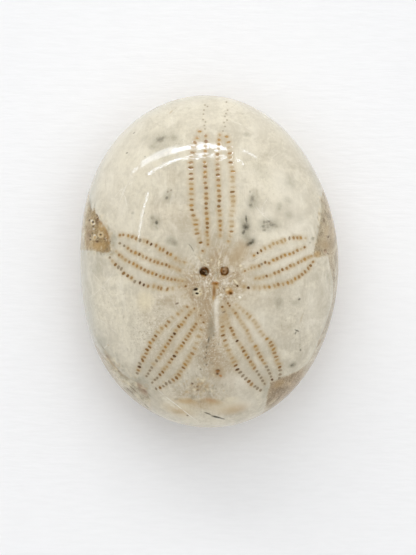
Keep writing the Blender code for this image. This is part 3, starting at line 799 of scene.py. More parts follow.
for _ in range(70):
    along = rng.random()
    x, y = 320.5 - 5 * along + rng.gauss(0, 2.0), 196 + 62 * along
    kind, strength = rng.choice((("T", 0.5), ("G", 0.45), ("B", 0.3), ("C", 0.5), ("O", 0.3)))
    MARKS.append((kind, x, y, rng.uniform(0.5, 1.4), rng.uniform(0.4, 0.9), rng.uniform(0, 180), strength, 0.7))

# Marks on the underside, in mm: the filled mouth and, near the rear edge, the filled vent.
UNDER_MARKS = [
    ("T", 0.0, 2.6, 3.7, 2.9, 0, 0.55, 0.5),
    ("P", 0.0, 2.6, 2.9, 2.15, 0, 0.95, 0.35),
    ("B", -1.2, 3.2, 1.0, 0.6, 20, 0.4, 0.9),
    ("O", 1.1, 2.0, 1.3, 0.8, -15, 0.5, 0.9),
    ("B", 0.2, 2.4, 0.35, 0.3, 0, 0.6, 0.6),
    ("C", -0.4, 1.5, 0.5, 0.3, 10, 0.5, 0.6),
    ("T", 0.1, -16.6, 2.6, 1.8, 0, 0.6, 0.5),
    ("P", 0.1, -16.6, 2.1, 1.35, 0, 0.95, 0.3),
    ("B", 0.9, -16.2, 0.7, 0.4, 20, 0.5, 0.8),
    ("O", -0.7, -16.9, 0.9, 0.5, 0, 0.6, 0.8),
    ("G", -9.0, 8.0, 2.4, 1.5, 30, 0.5, 0.9),
    ("G", 8.4, -6.0, 2.0, 2.6, 10, 0.45, 0.9),
    ("K", 8.9, -5.2, 0.4, 0.2, 40, 0.7, 0.5),
    ("G", 3.0, 14.5, 1.8, 1.1, -20, 0.4, 0.9),
    ("O", -7.5, -9.5, 2.2, 1.2, 50, 0.4, 0.9),
    ("C", 9.5, 9.0, 2.0, 2.6, 0, 0.5, 0.8),
]

# Lines of hair width: pigment sign (positive dark, negative pale), width in mm, strength, points in the view.
LINES = [
    (0.10, 0.55, [(186, 242), (190, 245.5), (193, 250), (195.5, 256)]),
    (0.08, 0.20, [(295.4, 330.6), (299.8, 334.5), (299.8, 346), (297.9, 355.5)]),
    (0.10, 0.35, [(286, 394.6), (278, 402), (266.5, 411)]),
    (0.07, -0.4, [(118, 205), (124, 191), (129, 180)]),
    (0.07, -0.4, [(112, 200), (121, 190), (133, 182)]),
    (0.07, -0.45, [(120, 188), (125, 197), (127, 207)]),
    (0.06, -0.3, [(88, 268), (100, 282), (112, 300)]),
    (0.06, -0.3, [(85, 300), (97, 292), (108, 280), (117, 268)]),
    (0.06, -0.3, [(90, 316), (103, 322), (118, 334)]),
    (0.06, -0.28, [(93, 280), (108, 297), (121, 318)]),
    (0.07, -0.35, [(255, 205), (262, 214), (270, 221)]),
    (0.07, -0.35, [(262, 214), (263, 206), (268, 198)]),
    (0.06, -0.4, [(231, 121), (240, 124), (252, 131)]),
    (0.06, 0.25, [(250, 262), (262, 256)]),
    (0.09, -0.75, [(158, 390), (166, 397), (174, 403), (183, 410), (191, 416.5), (198, 421.5)]),
]

# Wide soft clouds in the stone: kind (0 warm, 1 cool, 2 pale), x, y, half sizes in pixels, turn, strength.
CLOUDS = [
    (0, 192, 282, 13, 13, 0, 0.80),
    (0, 203, 312, 9, 26, -18, 0.85),
    (0, 210, 352, 11, 18, 0, 0.72),
    (0, 236, 258, 10, 9, 0, 0.50),
    (0, 215, 258, 14, 12, 0, 0.42),
    (0, 238, 280, 13, 10, 0, 0.48),
    (0, 226, 320, 8, 22, 10, 0.45),
    (0, 245, 340, 10, 16, 0, 0.32),
    (0, 165, 355, 12, 20, 30, 0.36),
    (0, 175, 262, 14, 8, 20, 0.35),
    (0, 205, 402, 24, 6, 0, 0.38),
    (0, 235, 411, 14, 4, 0, 0.16),
    (0, 170, 300, 12, 8, 0, 0.26),
    (0, 155, 320, 10, 8, 0, 0.22),
    (0, 212, 238, 12, 12, 0, 0.22),
    (0, 225, 365, 10, 8, 0, 0.36),
    (0, 262, 300, 22, 12, 0, 0.14),
    (1, 290, 183, 8, 6, 0, 0.30),
    (1, 98, 337, 8, 15, -25, 0.45),
    (1, 96, 276, 7, 16, 0, 0.22),
    (1, 163, 139, 18, 10, -10, 0.35),
    (1, 212, 190, 11, 30, 0, 0.18),
    (0, 220, 280, 26, 22, 0, 0.62),
    (0, 195, 294, 9, 12, 0, 0.35),
    (0, 210, 338, 7, 16, 0, 0.40),
    (0, 240, 290, 14, 10, 0, 0.22),
    (0, 184, 222, 9, 12, 0, 0.14),
    (0, 147, 300, 14, 9, 0, 0.14),
    (1, 89, 300, 5, 30, 0, 0.30),
    (1, 92, 260, 7, 12, 0, 0.20),
    (2, 288, 200, 12, 16, 0, 0.32),
    (2, 292, 260, 20, 13, -15, 0.60),
    (2, 258, 338, 9, 11, 0, 0.30),
    (2, 238, 382, 15, 8, 0, 0.34),
    (2, 136, 357, 9, 9, 0, 0.30),
    (2, 240, 404, 14, 7, 0, 0.50),
    (2, 117, 206, 10, 14, 0, 0.26),
    (2, 302, 200, 10, 15, 0, 0.30),
    (0, 235, 270, 15, 10, 0, 0.26),
    (1, 196, 360, 6, 6, 0, 0.24),
    (0, 230, 385, 14, 8, 0, 0.14),
    (2, 196, 232, 7, 9, 0, 0.26),
    (2, 302, 325, 8, 16, 0, 0.18),
    (2, 108, 334, 8, 8, 0, 0.22),
    (2, 240, 110, 20, 10, 0, -0.15),
    (0, 214, 330, 30, 60, 0, 0.16),
    (0, 222, 278, 11, 15, 0, 0.30),
    (0, 200, 405, 32, 13, 0, 0.36),
    (0, 218, 372, 18, 12, 0, 0.22),
    (0, 172, 178, 10, 8, 0, 0.16),
    (0, 165, 215, 18, 12, 0, 0.18),
    (0, 244, 246, 8, 8, 0, 0.30),
    (0, 140, 296, 8, 6, 0, 0.14),
    (0, 330, 340, 10, 40, 20, 0.12),
    (1, 242, 205, 6, 26, 0, 0.22),
    (1, 178, 145, 6, 12, 0, 0.24),
    (1, 146, 384, 12, 8, 0, 0.42),
    (1, 109, 361, 6, 15, -38, 0.36),
    (2, 114, 180, 10, 18, 20, 0.34),
    (2, 132, 273, 14, 9, 0, 0.22),
    (2, 278, 174, 9, 14, 0, 0.34),
    (2, 298, 228, 12, 14, 0, 0.50),
    (2, 300, 256, 14, 8, 0, 0.30),
    (2, 312, 300, 7, 13, 0, 0.30),
    (2, 250, 324, 10, 11, 0, 0.30),
    (2, 281, 330, 10, 10, 0, 0.24),
    (2, 122, 347, 8, 8, 0, 0.24),
    (2, 262, 212, 8, 6, 0, 0.2),
    (2, 230, 110, 60, 16, 0, 0.30),
    (2, 290, 140, 22, 26, 30, 0.22),
    (2, 135, 145, 22, 18, -40, 0.22),
    (2, 145, 222, 20, 12, 0, 0.15),
    (0, 217, 286, 7, 14, 0, 0.30),
    (0, 241, 246, 7, 7, 0, 0.26),
    (0, 170, 301, 20, 9, 0, 0.22),
    (0, 148, 318, 10, 12, 0, 0.12),
    (0, 198, 360, 8, 8, 0, 0.30),
    (1, 114, 244, 5, 9, 0, 0.34),
    (1, 138, 380, 8, 6, 0, 0.24),
    (0, 165, 386, 8, 6, 0, 0.16),
    (0, 184, 228, 22, 12, 0, 0.10),
    (2, 142, 279, 12, 11, 0, 0.30),
    (2, 127, 176, 8, 10, 0, 0.24),
    (2, 283, 186, 10, 14, 0, 0.40),
    (2, 269, 216, 8, 7, 0, 0.30),
    (2, 190, 255, 6, 6, 0, 0.25),
    (2, 280, 268, 18, 8, 0, 0.26),
    (2, 259, 327, 10, 15, 0, 0.36),
    (2, 243, 383, 14, 9, 0, 0.40),
    (2, 149, 353, 7, 7, 0, 0.26),
    (2, 102, 340, 6, 11, -20, 0.26),
    (2, 256, 128, 9, 9, 0, 0.30),
    (2, 295, 285, 10, 14, 0, 0.30),
    (2, 246, 148, 14, 9, 0, 0.26),
    (0, 222, 262, 12, 20, 0, 0.28),
    (0, 217, 290, 10, 15, 0, 0.26),
    (0, 184, 287, 10, 12, 0, 0.26),
    (0, 156, 218, 18, 18, 0, 0.14),
    (0, 148, 172, 14, 8, 0, 0.14),
    (0, 251, 250, 12, 10, 0, 0.20),
    (0, 190, 320, 12, 20, 20, 0.18),
    (0, 144, 307, 10, 9, 0, 0.14),
    (0, 180, 394, 14, 7, 0, 0.18),
    (0, 246, 186, 8, 16, 0, 0.12),
    (0, 284, 331, 9, 7, 0, 0.16),
    (1, 270, 386, 4, 8, 30, 0.3),
    (2, 112, 150, 12, 22, 25, 0.30),
    (2, 104, 185, 8, 16, 10, 0.26),
    (2, 268, 228, 8, 22, 0, 0.20),
    (2, 199, 220, 6, 16, 0, 0.16),
    (2, 165, 250, 8, 5, 20, 0.2),
    (2, 280, 310, 18, 8, 0, 0.18),
    (2, 312, 312, 8, 20, 0, 0.22),
    (2, 248, 338, 8, 12, 0, 0.22),
    (2, 228, 381, 12, 7, 0, 0.24),
    (2, 142, 262, 26, 9, 22, 0.22),
    (2, 118, 360, 8, 10, 0, 0.14),
    (2, 219, 409, 13, 5, 4, 0.50),
    (2, 180, 407, 10, 5, 10, 0.34),
    (2, 240, 403, 12, 6, 0, 0.22),
    (2, 160, 401, 8, 6, 0, 0.14),
    (0, 197, 391, 9, 6, 0, 0.30),
    (0, 207, 284, 6, 7, 0, 0.40),
    (0, 209, 301, 5, 7, 0, 0.45),
    (2, 91, 262, 4, 14, 0, 0.40),
    (1, 92, 311, 5, 9, 0, 0.30),
    (0, 181, 210, 14, 12, 0, 0.16),
    (2, 122, 212, 10, 12, 0, 0.24),
    (0, 240, 258, 9, 8, 0, 0.18),
    (0, 213, 355, 9, 10, 0, 0.22),
]
# Places where the stone is full of fine grains and flecks: x, y, half sizes in pixels, turn, strength.
BUSY = [
    (213, 284, 34, 30, 0, 1.0),
    (212, 340, 30, 46, 0, 0.8),
    (105, 300, 26, 50, 0, 0.35),
    (300, 310, 34, 50, 0, 0.4),
    (200, 390, 50, 24, 0, 0.55),
    (196, 385, 12, 8, 0, 0.95),
    (150, 330, 34, 44, 0, 0.7),
]

# ---------------------------------------------------------------- brown filling
# Where the shell is ground through to the brown sediment: a belt round the lower side that rises
# over the rim at the ends of the paired petals. Pixel points show in the main view; the others are
# degrees from the rear and mm below the rim.
BELT_TOP = [
    ("d", -180, 4.2), ("d", -160, 3.6), ("d", -140, 2.8), ("d", -126, 2.2),
    ("p", 89, 195), ("p", 91.0, 207.0), ("p", 92.4, 211.8), ("p", 93.9, 207.6), ("p", 94.8, 207.6), ("p", 94.8, 212.4),
    ("p", 97.6, 215.2), ("p", 100.0, 220.6), ("p", 103.4, 225.7), ("p", 107.0, 230.8), ("p", 109.6, 236), ("p", 110.8, 244), ("p", 110.4, 252.4),
    ("p", 103.5, 253), ("p", 97.4, 251.6), ("p", 87.6, 250),
    ("d", -95, 1.2), ("d", -86, 2.1), ("d", -74, 1.9), ("d", -64, 1.0),
    ("p", 99.5, 351), ("p", 107.6, 357.5), ("p", 114.7, 365.5), ("p", 119.9, 372), ("p", 126, 376.6),
    ("p", 132.2, 379.8), ("p", 137.5, 383), ("p", 142.5, 387), ("p", 147.5, 392.5), ("p", 149.5, 399), ("p", 150.8, 407),
    ("d", -21, 0.3), ("d", -13, 1.5), ("d", -5, 2.8), ("d", 5, 2.5), ("d", 13, 1.2), ("d", 18, 0.1),
    ("p", 265.4, 408.2), ("p", 266.4, 398), ("p", 268.4, 390), ("p", 271.4, 382.5), ("p", 279.6, 378.4),
    ("p", 286, 375.9), ("p", 293, 373), ("p", 301.5, 369), ("p", 307.9, 363), ("p", 315.4, 350),
    ("p", 319.8, 338), ("p", 324.5, 328), ("p", 328.8, 315), ("p", 331.3, 306), ("p", 333.2, 296),
    ("p", 333.2, 285), ("p", 332.5, 277), ("p", 331.0, 270), ("p", 328.9, 262), ("p", 328.6, 256.6),
    ("p", 325.3, 255.4), ("p", 321, 257), ("p", 316.8, 258), ("p", 313.3, 257), ("p", 314, 250.6),
    ("p", 316.1, 243.6), ("p", 317.5, 235), ("p", 318.9, 229.5), ("p", 319.6, 221.7), ("p", 321.7, 209.7),
    ("p", 321, 200.6), ("p", 322.5, 192),
    ("d", 126, 1.6), ("d", 140, 2.6), ("d", 160, 3.4), ("d", 180, 4.2),
]  # fmt: skip
BELT_LOW = [
    ("d", 180, 7.0), ("d", 150, 6.4), ("d", 128, 8.2), ("d", 110, 8.8), ("d", 90, 8.4), ("d", 66, 7.2),
    ("d", 45, 8.4), ("d", 28, 8.8), ("d", 0, 7.4), ("d", -25, 8.4), ("d", -45, 8.6), ("d", -70, 7.0),
    ("d", -90, 8.0), ("d", -110, 8.7), ("d", -130, 7.6), ("d", -155, 6.2), ("d", -180, 7.0),
]  # fmt: skip
DEGREE = MEAN * math.pi / 180  # mm round the belt per degree
# The filling is beige, and browner here: colour, x, y, half sizes in pixels, turn.
FILLS = [
    ((0.345, 0.25, 0.118), 99, 229, 14, 26, -16),
    ((0.285, 0.20, 0.088), 105, 240, 8, 12, -10),
    ((0.42, 0.335, 0.195), 87.5, 232, 3.5, 20, 0),
    ((0.352, 0.29, 0.190), 322, 226, 11, 36, 2),
    ((0.335, 0.255, 0.158), 284, 389, 26, 15, -42),
    ((0.51, 0.462, 0.345), 122, 382, 36, 9, 48),
    ((0.54, 0.505, 0.425), 97, 350, 8, 12, -35),
    ((0.395, 0.348, 0.258), 333, 305, 7, 62, 4),
    ((0.395, 0.335, 0.235), 334, 245, 6, 26, 0),
]


def unrolled_points(points):
    out = []
    for kind, first, second in points:
        turn, down = unrolled(seen(first, second)) if kind == "p" else (first, second)
        out.append((turn * DEGREE, down))
    return out


def inside_distance(points, polygon):
    """Signed distance of 2D points from a closed outline, positive inside."""
    polygon = np.array(polygon)
    best = np.full(len(points), np.inf)
    crossings = np.zeros(len(points), bool)
    for a, b in zip(polygon, np.roll(polygon, -1, axis=0)):
        ab = b - a
        t = np.clip(((points - a) @ ab) / max(ab @ ab, 1e-12), 0, 1)
        best = np.minimum(best, np.hypot(*(points - a - t[:, None] * ab).T))
        if a[1] != b[1]:
            between = (points[:, 1] < a[1]) != (points[:, 1] < b[1])
            cut = a[0] + (points[:, 1] - a[1]) / (b[1] - a[1]) * (b[0] - a[0])
            crossings ^= between & (points[:, 0] < cut)
    return np.where(crossings, best, -best)


# ---------------------------------------------------------------- fields
spots = [(PIGMENTS[m[0]], Spot.in_view(*m[1:6]), m[6], m[7]) for m in MARKS]
spots += [(PIGMENTS[m[0]], Spot.under(*m[1:6]), m[6], m[7]) for m in UNDER_MARKS]
fine_spots = [s for s, m in zip(spots, MARKS) if max(m[3], m[4]) < 6 and m[7] <= 0.6]


def slit_fields(points):
    """Signed distance to the nearest slit, its darkness, greyness and cover, and the stain round the slits."""
    edge = np.full(len(points), 0.8)
    tone = np.zeros((len(points), 3))
    stain = np.zeros(len(points))
    for spot, dark, grey, cover, dyed in slits:
        ids, _, d = spot.measure(points, 0.8)
        closer = d < edge[ids]
        edge[ids[closer]] = d[closer]
        tone[ids[closer]] = dark, grey, cover
        stain[ids] += dyed * np.exp(-((np.maximum(d, 0) / 0.27) ** 2))
    return edge, tone, np.minimum(stain, 1.2)


def detail_distance(points):
    """How far points are from the nearest slit or small sharp mark."""
    edge = np.full(len(points), 0.8)
    for spot in [s[0] for s in slits] + [s[1] for s in fine_spots]:
        ids, _, d = spot.measure(points, 0.3)
        edge[ids] = np.minimum(edge[ids], d)
    return edge


# ---------------------------------------------------------------- mesh
FINE_EDGE = 0.17  # mm, the longest edge left near a slit or mark
for level in range(3):
    d = directions(ball)
    points = surface(*place(d))
    near = detail_distance(points) < 0.16
    chosen = []
    for e in ball.edges:
        i, j = e.verts[0].index, e.verts[1].index
        if (near[i] or near[j]) and np.linalg.norm(points[i] - points[j]) > FINE_EDGE:
            chosen.append(e)
    if not chosen:
        break
    bmesh.ops.subdivide_edges(ball, edges=chosen, cuts=1, use_grid_fill=True)
    bmesh.ops.triangulate(ball, faces=[f for f in ball.faces if len(f.verts) > 3])
    ball.verts.index_update()
    print("level", level, "faces", len(ball.faces))

d = directions(ball)
g, a = place(d)
points = surface(g, a)
run = np.interp(g, G, RUN)
down = run - RIM_RUN
turn = (np.degrees(a) + 90 + 180) % 360 - 180

edge, tone, stain = slit_fields(points)
ink = np.zeros((len(points), 3))  # pigment times its cover
ink_cover_and_painted_rim = np.zeros((len(points), 3))  # cover, how broken up, and the painted rim grey
for (shade, broken), spot, strength, soft in spots:
    ids, q, _ = spot.measure(points, 2 * max(spot.a, spot.b))
    value = strength * smooth((1 + soft - q) / (2 * soft))
    ink[ids] = ink[ids] * (1 - value[:, None]) + np.array(shade) * value[:, None]
    was = ink_cover_and_painted_rim[ids, 0]
    ink_cover_and_painted_rim[ids, 0] = was * (1 - value) + value
    ink_cover_and_painted_rim[ids, 1] = np.where(value > 0, ink_cover_and_painted_rim[ids, 1] * (1 - value) + broken * value, ink_cover_and_painted_rim[ids, 1])

# painted edge light: how far the stone is painted greyer towards the rim, standing in for the light seen through and
# reflected off the thin calcite edge; most at the left and the right, least at the rear
most = np.interp(np.abs(turn), [0, 28, 55, 120, 150, 180], [0.0, 0.06, 1.0, 1.0, 0.5, 0.45])
start = np.where(turn < 0, -9.0, -7.0)
ink_cover_and_painted_rim[:, 2] = most * smooth((down - start) / 6.5) * smooth((3.0 - down) / 3.5)

belt = inside_distance(
    np.stack([turn * DEGREE, down], -1), unrolled_points(BELT_TOP + BELT_LOW)
)
belt = np.clip(belt, -3, 3)

# inside the petals: where a vertex falls in the main view, against each petal's outline
depth = EYE[2] - points[:, 2]
in_view = np.stack(
    [
        VIEW_W / 2 + (points[:, 0] - EYE[0]) / depth / SIGHT,
        VIEW_H / 2 - (points[:, 1] - EYE[1]) / depth / SIGHT,
    ],
    -1,
)
petal_inside = np.full(len(points), -10.0)
for petal in PETALS.values():
    first, last = petal["rows"][0][2], petal["rows"][-1][2]
    reach = inside_distance(in_view, [k[:2] for k in first] + [k[:2] for k in reversed(last)])
    petal_inside = np.maximum(petal_inside, reach)
petal_inside = np.where(g < 1, np.clip(petal_inside, -10, 10), -10.0)

filling = np.tile([0.49, 0.435, 0.325], (len(points), 1))
filling += (np.array([0.40, 0.315, 0.195]) - filling) * smooth((down - 1.0) / 2.0)[:, None]
for shade, *where_ in FILLS:
    spot = Spot.in_view(*where_)
    ids, q, _ = spot.measure(points, max(spot.a, spot.b))
    filling[ids] += (np.array(shade) - filling[ids]) * smooth((1.4 - q) / 0.6)[:, None]
busy = np.zeros(len(points))
for x, y, rx, ry, angle, strength in BUSY:
    spot = Spot.in_view(x, y, rx, ry, angle)
    ids, q, _ = spot.measure(points, 2 * max(spot.a, spot.b))
    busy[ids] = np.maximum(busy[ids], strength * np.exp(-(q**2)))

clouds = np.zeros((len(points), 3))
for kind, x, y, rx, ry, angle, strength in CLOUDS:
    spot = Spot.in_view(x, y, rx, ry, angle)
    ids, q, _ = spot.measure(points, 2 * max(spot.a, spot.b))
    clouds[ids, kind] += strength * np.exp(-(q**2))

line = np.full((len(points), 2), 0.0)
line[:, 0] = 1.0
line_tone = np.zeros(len(points))
for width, strength, knots in LINES:
    path = curve_through(knots, 10)
    path = np.array([seen(x, y) for x, y in path])
    total = len(path) - 1
    for k, (p, q) in enumerate(zip(path, path[1:])):
        pq = q - p
        length = np.linalg.norm(pq)
        if length < 1e-6:
            continue
        r = points - p
        t = (r @ pq) / (length * length)
        ids = np.nonzero((t > -0.3) & (t < 1.3) & ((r * r).sum(1) < (length + 1) ** 2))[0]
        foot = p + np.clip(t[ids], 0, 1)[:, None] * pq
        off = points[ids] - foot
        up = foot / np.linalg.norm(foot, axis=1)[:, None]
        side = np.sign(np.einsum("ij,ij->i", np.cross(np.broadcast_to(pq, off.shape), up), off))
        away = np.linalg.norm(off, axis=1)
        closer = away < np.abs(line[ids, 0])
        fade = math.sin(math.pi * min(max((k + 0.5) / total, 0.04), 0.96)) ** 0.5
        line[ids[closer], 0] = (side * away)[closer]
        line[ids[closer], 1] = width
        line_tone[ids[closer]] = strength * fade

# ---------------------------------------------------------------- relief
# Ground by hand: a slight waviness everywhere, the petals' slits and pores a little sunk.
height = np.zeros(len(points))
for i, p in enumerate(points):
    v = Vector(p)
    height[i] = 0.016 * noise.noise(v * 0.10) + 0.003 * noise.noise(v * 0.45 + Vector((5, 2, 8)))
height -= (0.018 + 0.045 * tone[:, 0]) * tone[:, 2] * smooth((0.05 - edge) / 0.14)
for x, y, rx, ry, angle, depth in (
    (204.4, 271.6, 4.4, 4.5, 0, 0.025),
    (224.6, 270.8, 4.1, 4.5, 25, 0.010),
    (197.2, 291.9, 3.0, 3.4, 0, 0.03),
    (229.7, 292.1, 3.2, 3.4, 0, 0.03),
):
    spot = Spot.in_view(x, y, rx, ry, angle)
    ids, q, _ = spot.measure(points, max(spot.a, spot.b))
    height[ids] -= depth * smooth((1.25 - q) / 0.6)
rough = np.array([noise.noise(Vector(p) * 1.3) + 0.6 * noise.noise(Vector(p) * 3.1) for p in points])
height += smooth(belt / 0.25) * (-0.05 + (0.010 + 0.025 * smooth((down + 0.5) / 1.5)) * rough)

mesh = bpy.data.meshes.new("fossil")
for v, p in zip(ball.verts, points):
    v.co = p
ball.normal_update()
normals = np.array([v.normal[:] for v in ball.verts])
final = points + normals * height[:, None]
final[:, 2] = np.maximum(final[:, 2], 0.0)
for v, p in zip(ball.verts, final):
    v.co = p * 0.001
ball.to_mesh(mesh)
ball.free()
mesh.shade_smooth()
print("faces", len(mesh.polygons))


def keep(name, values):
    """Stores one number or three for each vertex."""
    kind = "FLOAT" if values.ndim == 1 else "FLOAT_VECTOR"
    layer = mesh.attributes.new(name, kind, "POINT")
    layer.data.foreach_set("value" if values.ndim == 1 else "vector", values.astype(np.float32).ravel())


keep("slit_edge", edge)
keep("slit_tone", tone)
keep("stain", stain)
keep("belt", belt)
keep("ink", ink)
keep("ink_cover_and_painted_rim", ink_cover_and_painted_rim)
keep("petal", petal_inside)
keep("clouds", clouds)
keep("busy", busy)
keep("filling", filling)
keep("line", np.stack([line[:, 0], line[:, 1], line_tone], -1))
keep("down", down)

# Unwrapped as two discs, the top large and the underside small.
uv = mesh.uv_layers.new(name="OFBake")
loops = np.empty(len(mesh.loops), int)
mesh.loops.foreach_get("vertex_index", loops)
tri = loops.reshape(-1, 3)
split = RIM_RUN + 3.0
top = run[tri].mean(1) < split
total_run = float(RUN[-1])
away = np.where(np.repeat(top, 3), run[loops] / split * 0.395, (total_run - run[loops]) / (total_run - split) * 0.182)
middle = np.where(np.repeat(top, 3)[:, None], [0.402, 0.402], [0.81, 0.81])
flip = np.where(np.repeat(top, 3), 1.0, -1.0)
flat = middle + np.stack([away * np.cos(a[loops]) * flip, away * np.sin(a[loops])], -1)
uv.data.foreach_set("uv", flat.astype(np.float32).ravel())

fossil = bpy.data.objects.new("fossil", mesh)
bpy.context.scene.collection.objects.link(fossil)


# ---------------------------------------------------------------- stone
class Net:
    """Short names for building a node tree."""

    def __init__(self, tree):
        self.tree = tree
        tree.nodes.clear()

    def node(self, kind, **settings):
        n = self.tree.nodes.new(kind)
        for key, value in settings.items():
            setattr(n, key, value)
        return n

    def put(self, socket, value):
        if isinstance(value, bpy.types.NodeSocket):
            self.tree.links.new(value, socket)
        elif value is not None:
            socket.default_value = value

    def math(self, how, first, second=None, third=None, clamp=False):
        n = self.node("ShaderNodeMath", operation=how, use_clamp=clamp)
        for socket, value in zip(n.inputs, (first, second, third)):
            self.put(socket, value)
        return n.outputs[0]

    def mul(self, *values):
        out = values[0]
        for v in values[1:]:
            out = self.math("MULTIPLY", out, v)
        return out

    def add(self, *values):
        out = values[0]
        for v in values[1:]:
            out = self.math("ADD", out, v)
        return out

    def fit(self, value, low, high, to_low=0.0, to_high=1.0, soft=True):
        n = self.node(
            "ShaderNodeMapRange",
            interpolation_type="SMOOTHSTEP" if soft else "LINEAR",
            clamp=True,
        )
        for key, v in zip(("Value", "From Min", "From Max", "To Min", "To Max"), (value, low, high, to_low, to_high)):
            self.put(n.inputs[key], v)
        return n.outputs[0]

    def mix(self, share, first, second, how="MIX"):
        n = self.node("ShaderNodeMix", data_type="RGBA", blend_type=how)
        self.put(n.inputs[0], share)
        for socket, value in ((n.inputs[6], first), (n.inputs[7], second)):
            self.put(socket, (*value, 1.0) if isinstance(value, tuple) and len(value) == 3 else value)
        return n.outputs[2]

    def scaled(self, vector, by, offset=(0, 0, 0), turn=(0, 0, 0)):
        n = self.node("ShaderNodeMapping")
        self.put(n.inputs["Vector"], vector)
        n.inputs["Scale"].default_value = by if isinstance(by, tuple) else (by, by, by)
        n.inputs["Location"].default_value = offset
        n.inputs["Rotation"].default_value = tuple(math.radians(t) for t in turn)
        return n.outputs[0]

    def noise(self, vector, scale, detail=2.0, rough=0.5, bend=0.0, colour=False):
        n = self.node("ShaderNodeTexNoise")
        self.put(n.inputs["Vector"], vector)
        for key, v in (("Scale", scale), ("Detail", detail), ("Roughness", rough), ("Distortion", bend)):
            n.inputs[key].default_value = v
        return n.outputs["Color" if colour else "Fac"]

    def cells(self, vector, scale, feature="F1", random_=1.0):
        n = self.node("ShaderNodeTexVoronoi", feature=feature)
        self.put(n.inputs["Vector"], vector)
        n.inputs["Scale"].default_value = scale
        n.inputs["Randomness"].default_value = random_
        return n

    def read(self, name):
        return self.node("ShaderNodeAttribute", attribute_name=name)

    def parts(self, vector):
        n = self.node("ShaderNodeSeparateXYZ")
        self.put(n.inputs[0], vector)
        return n.outputs


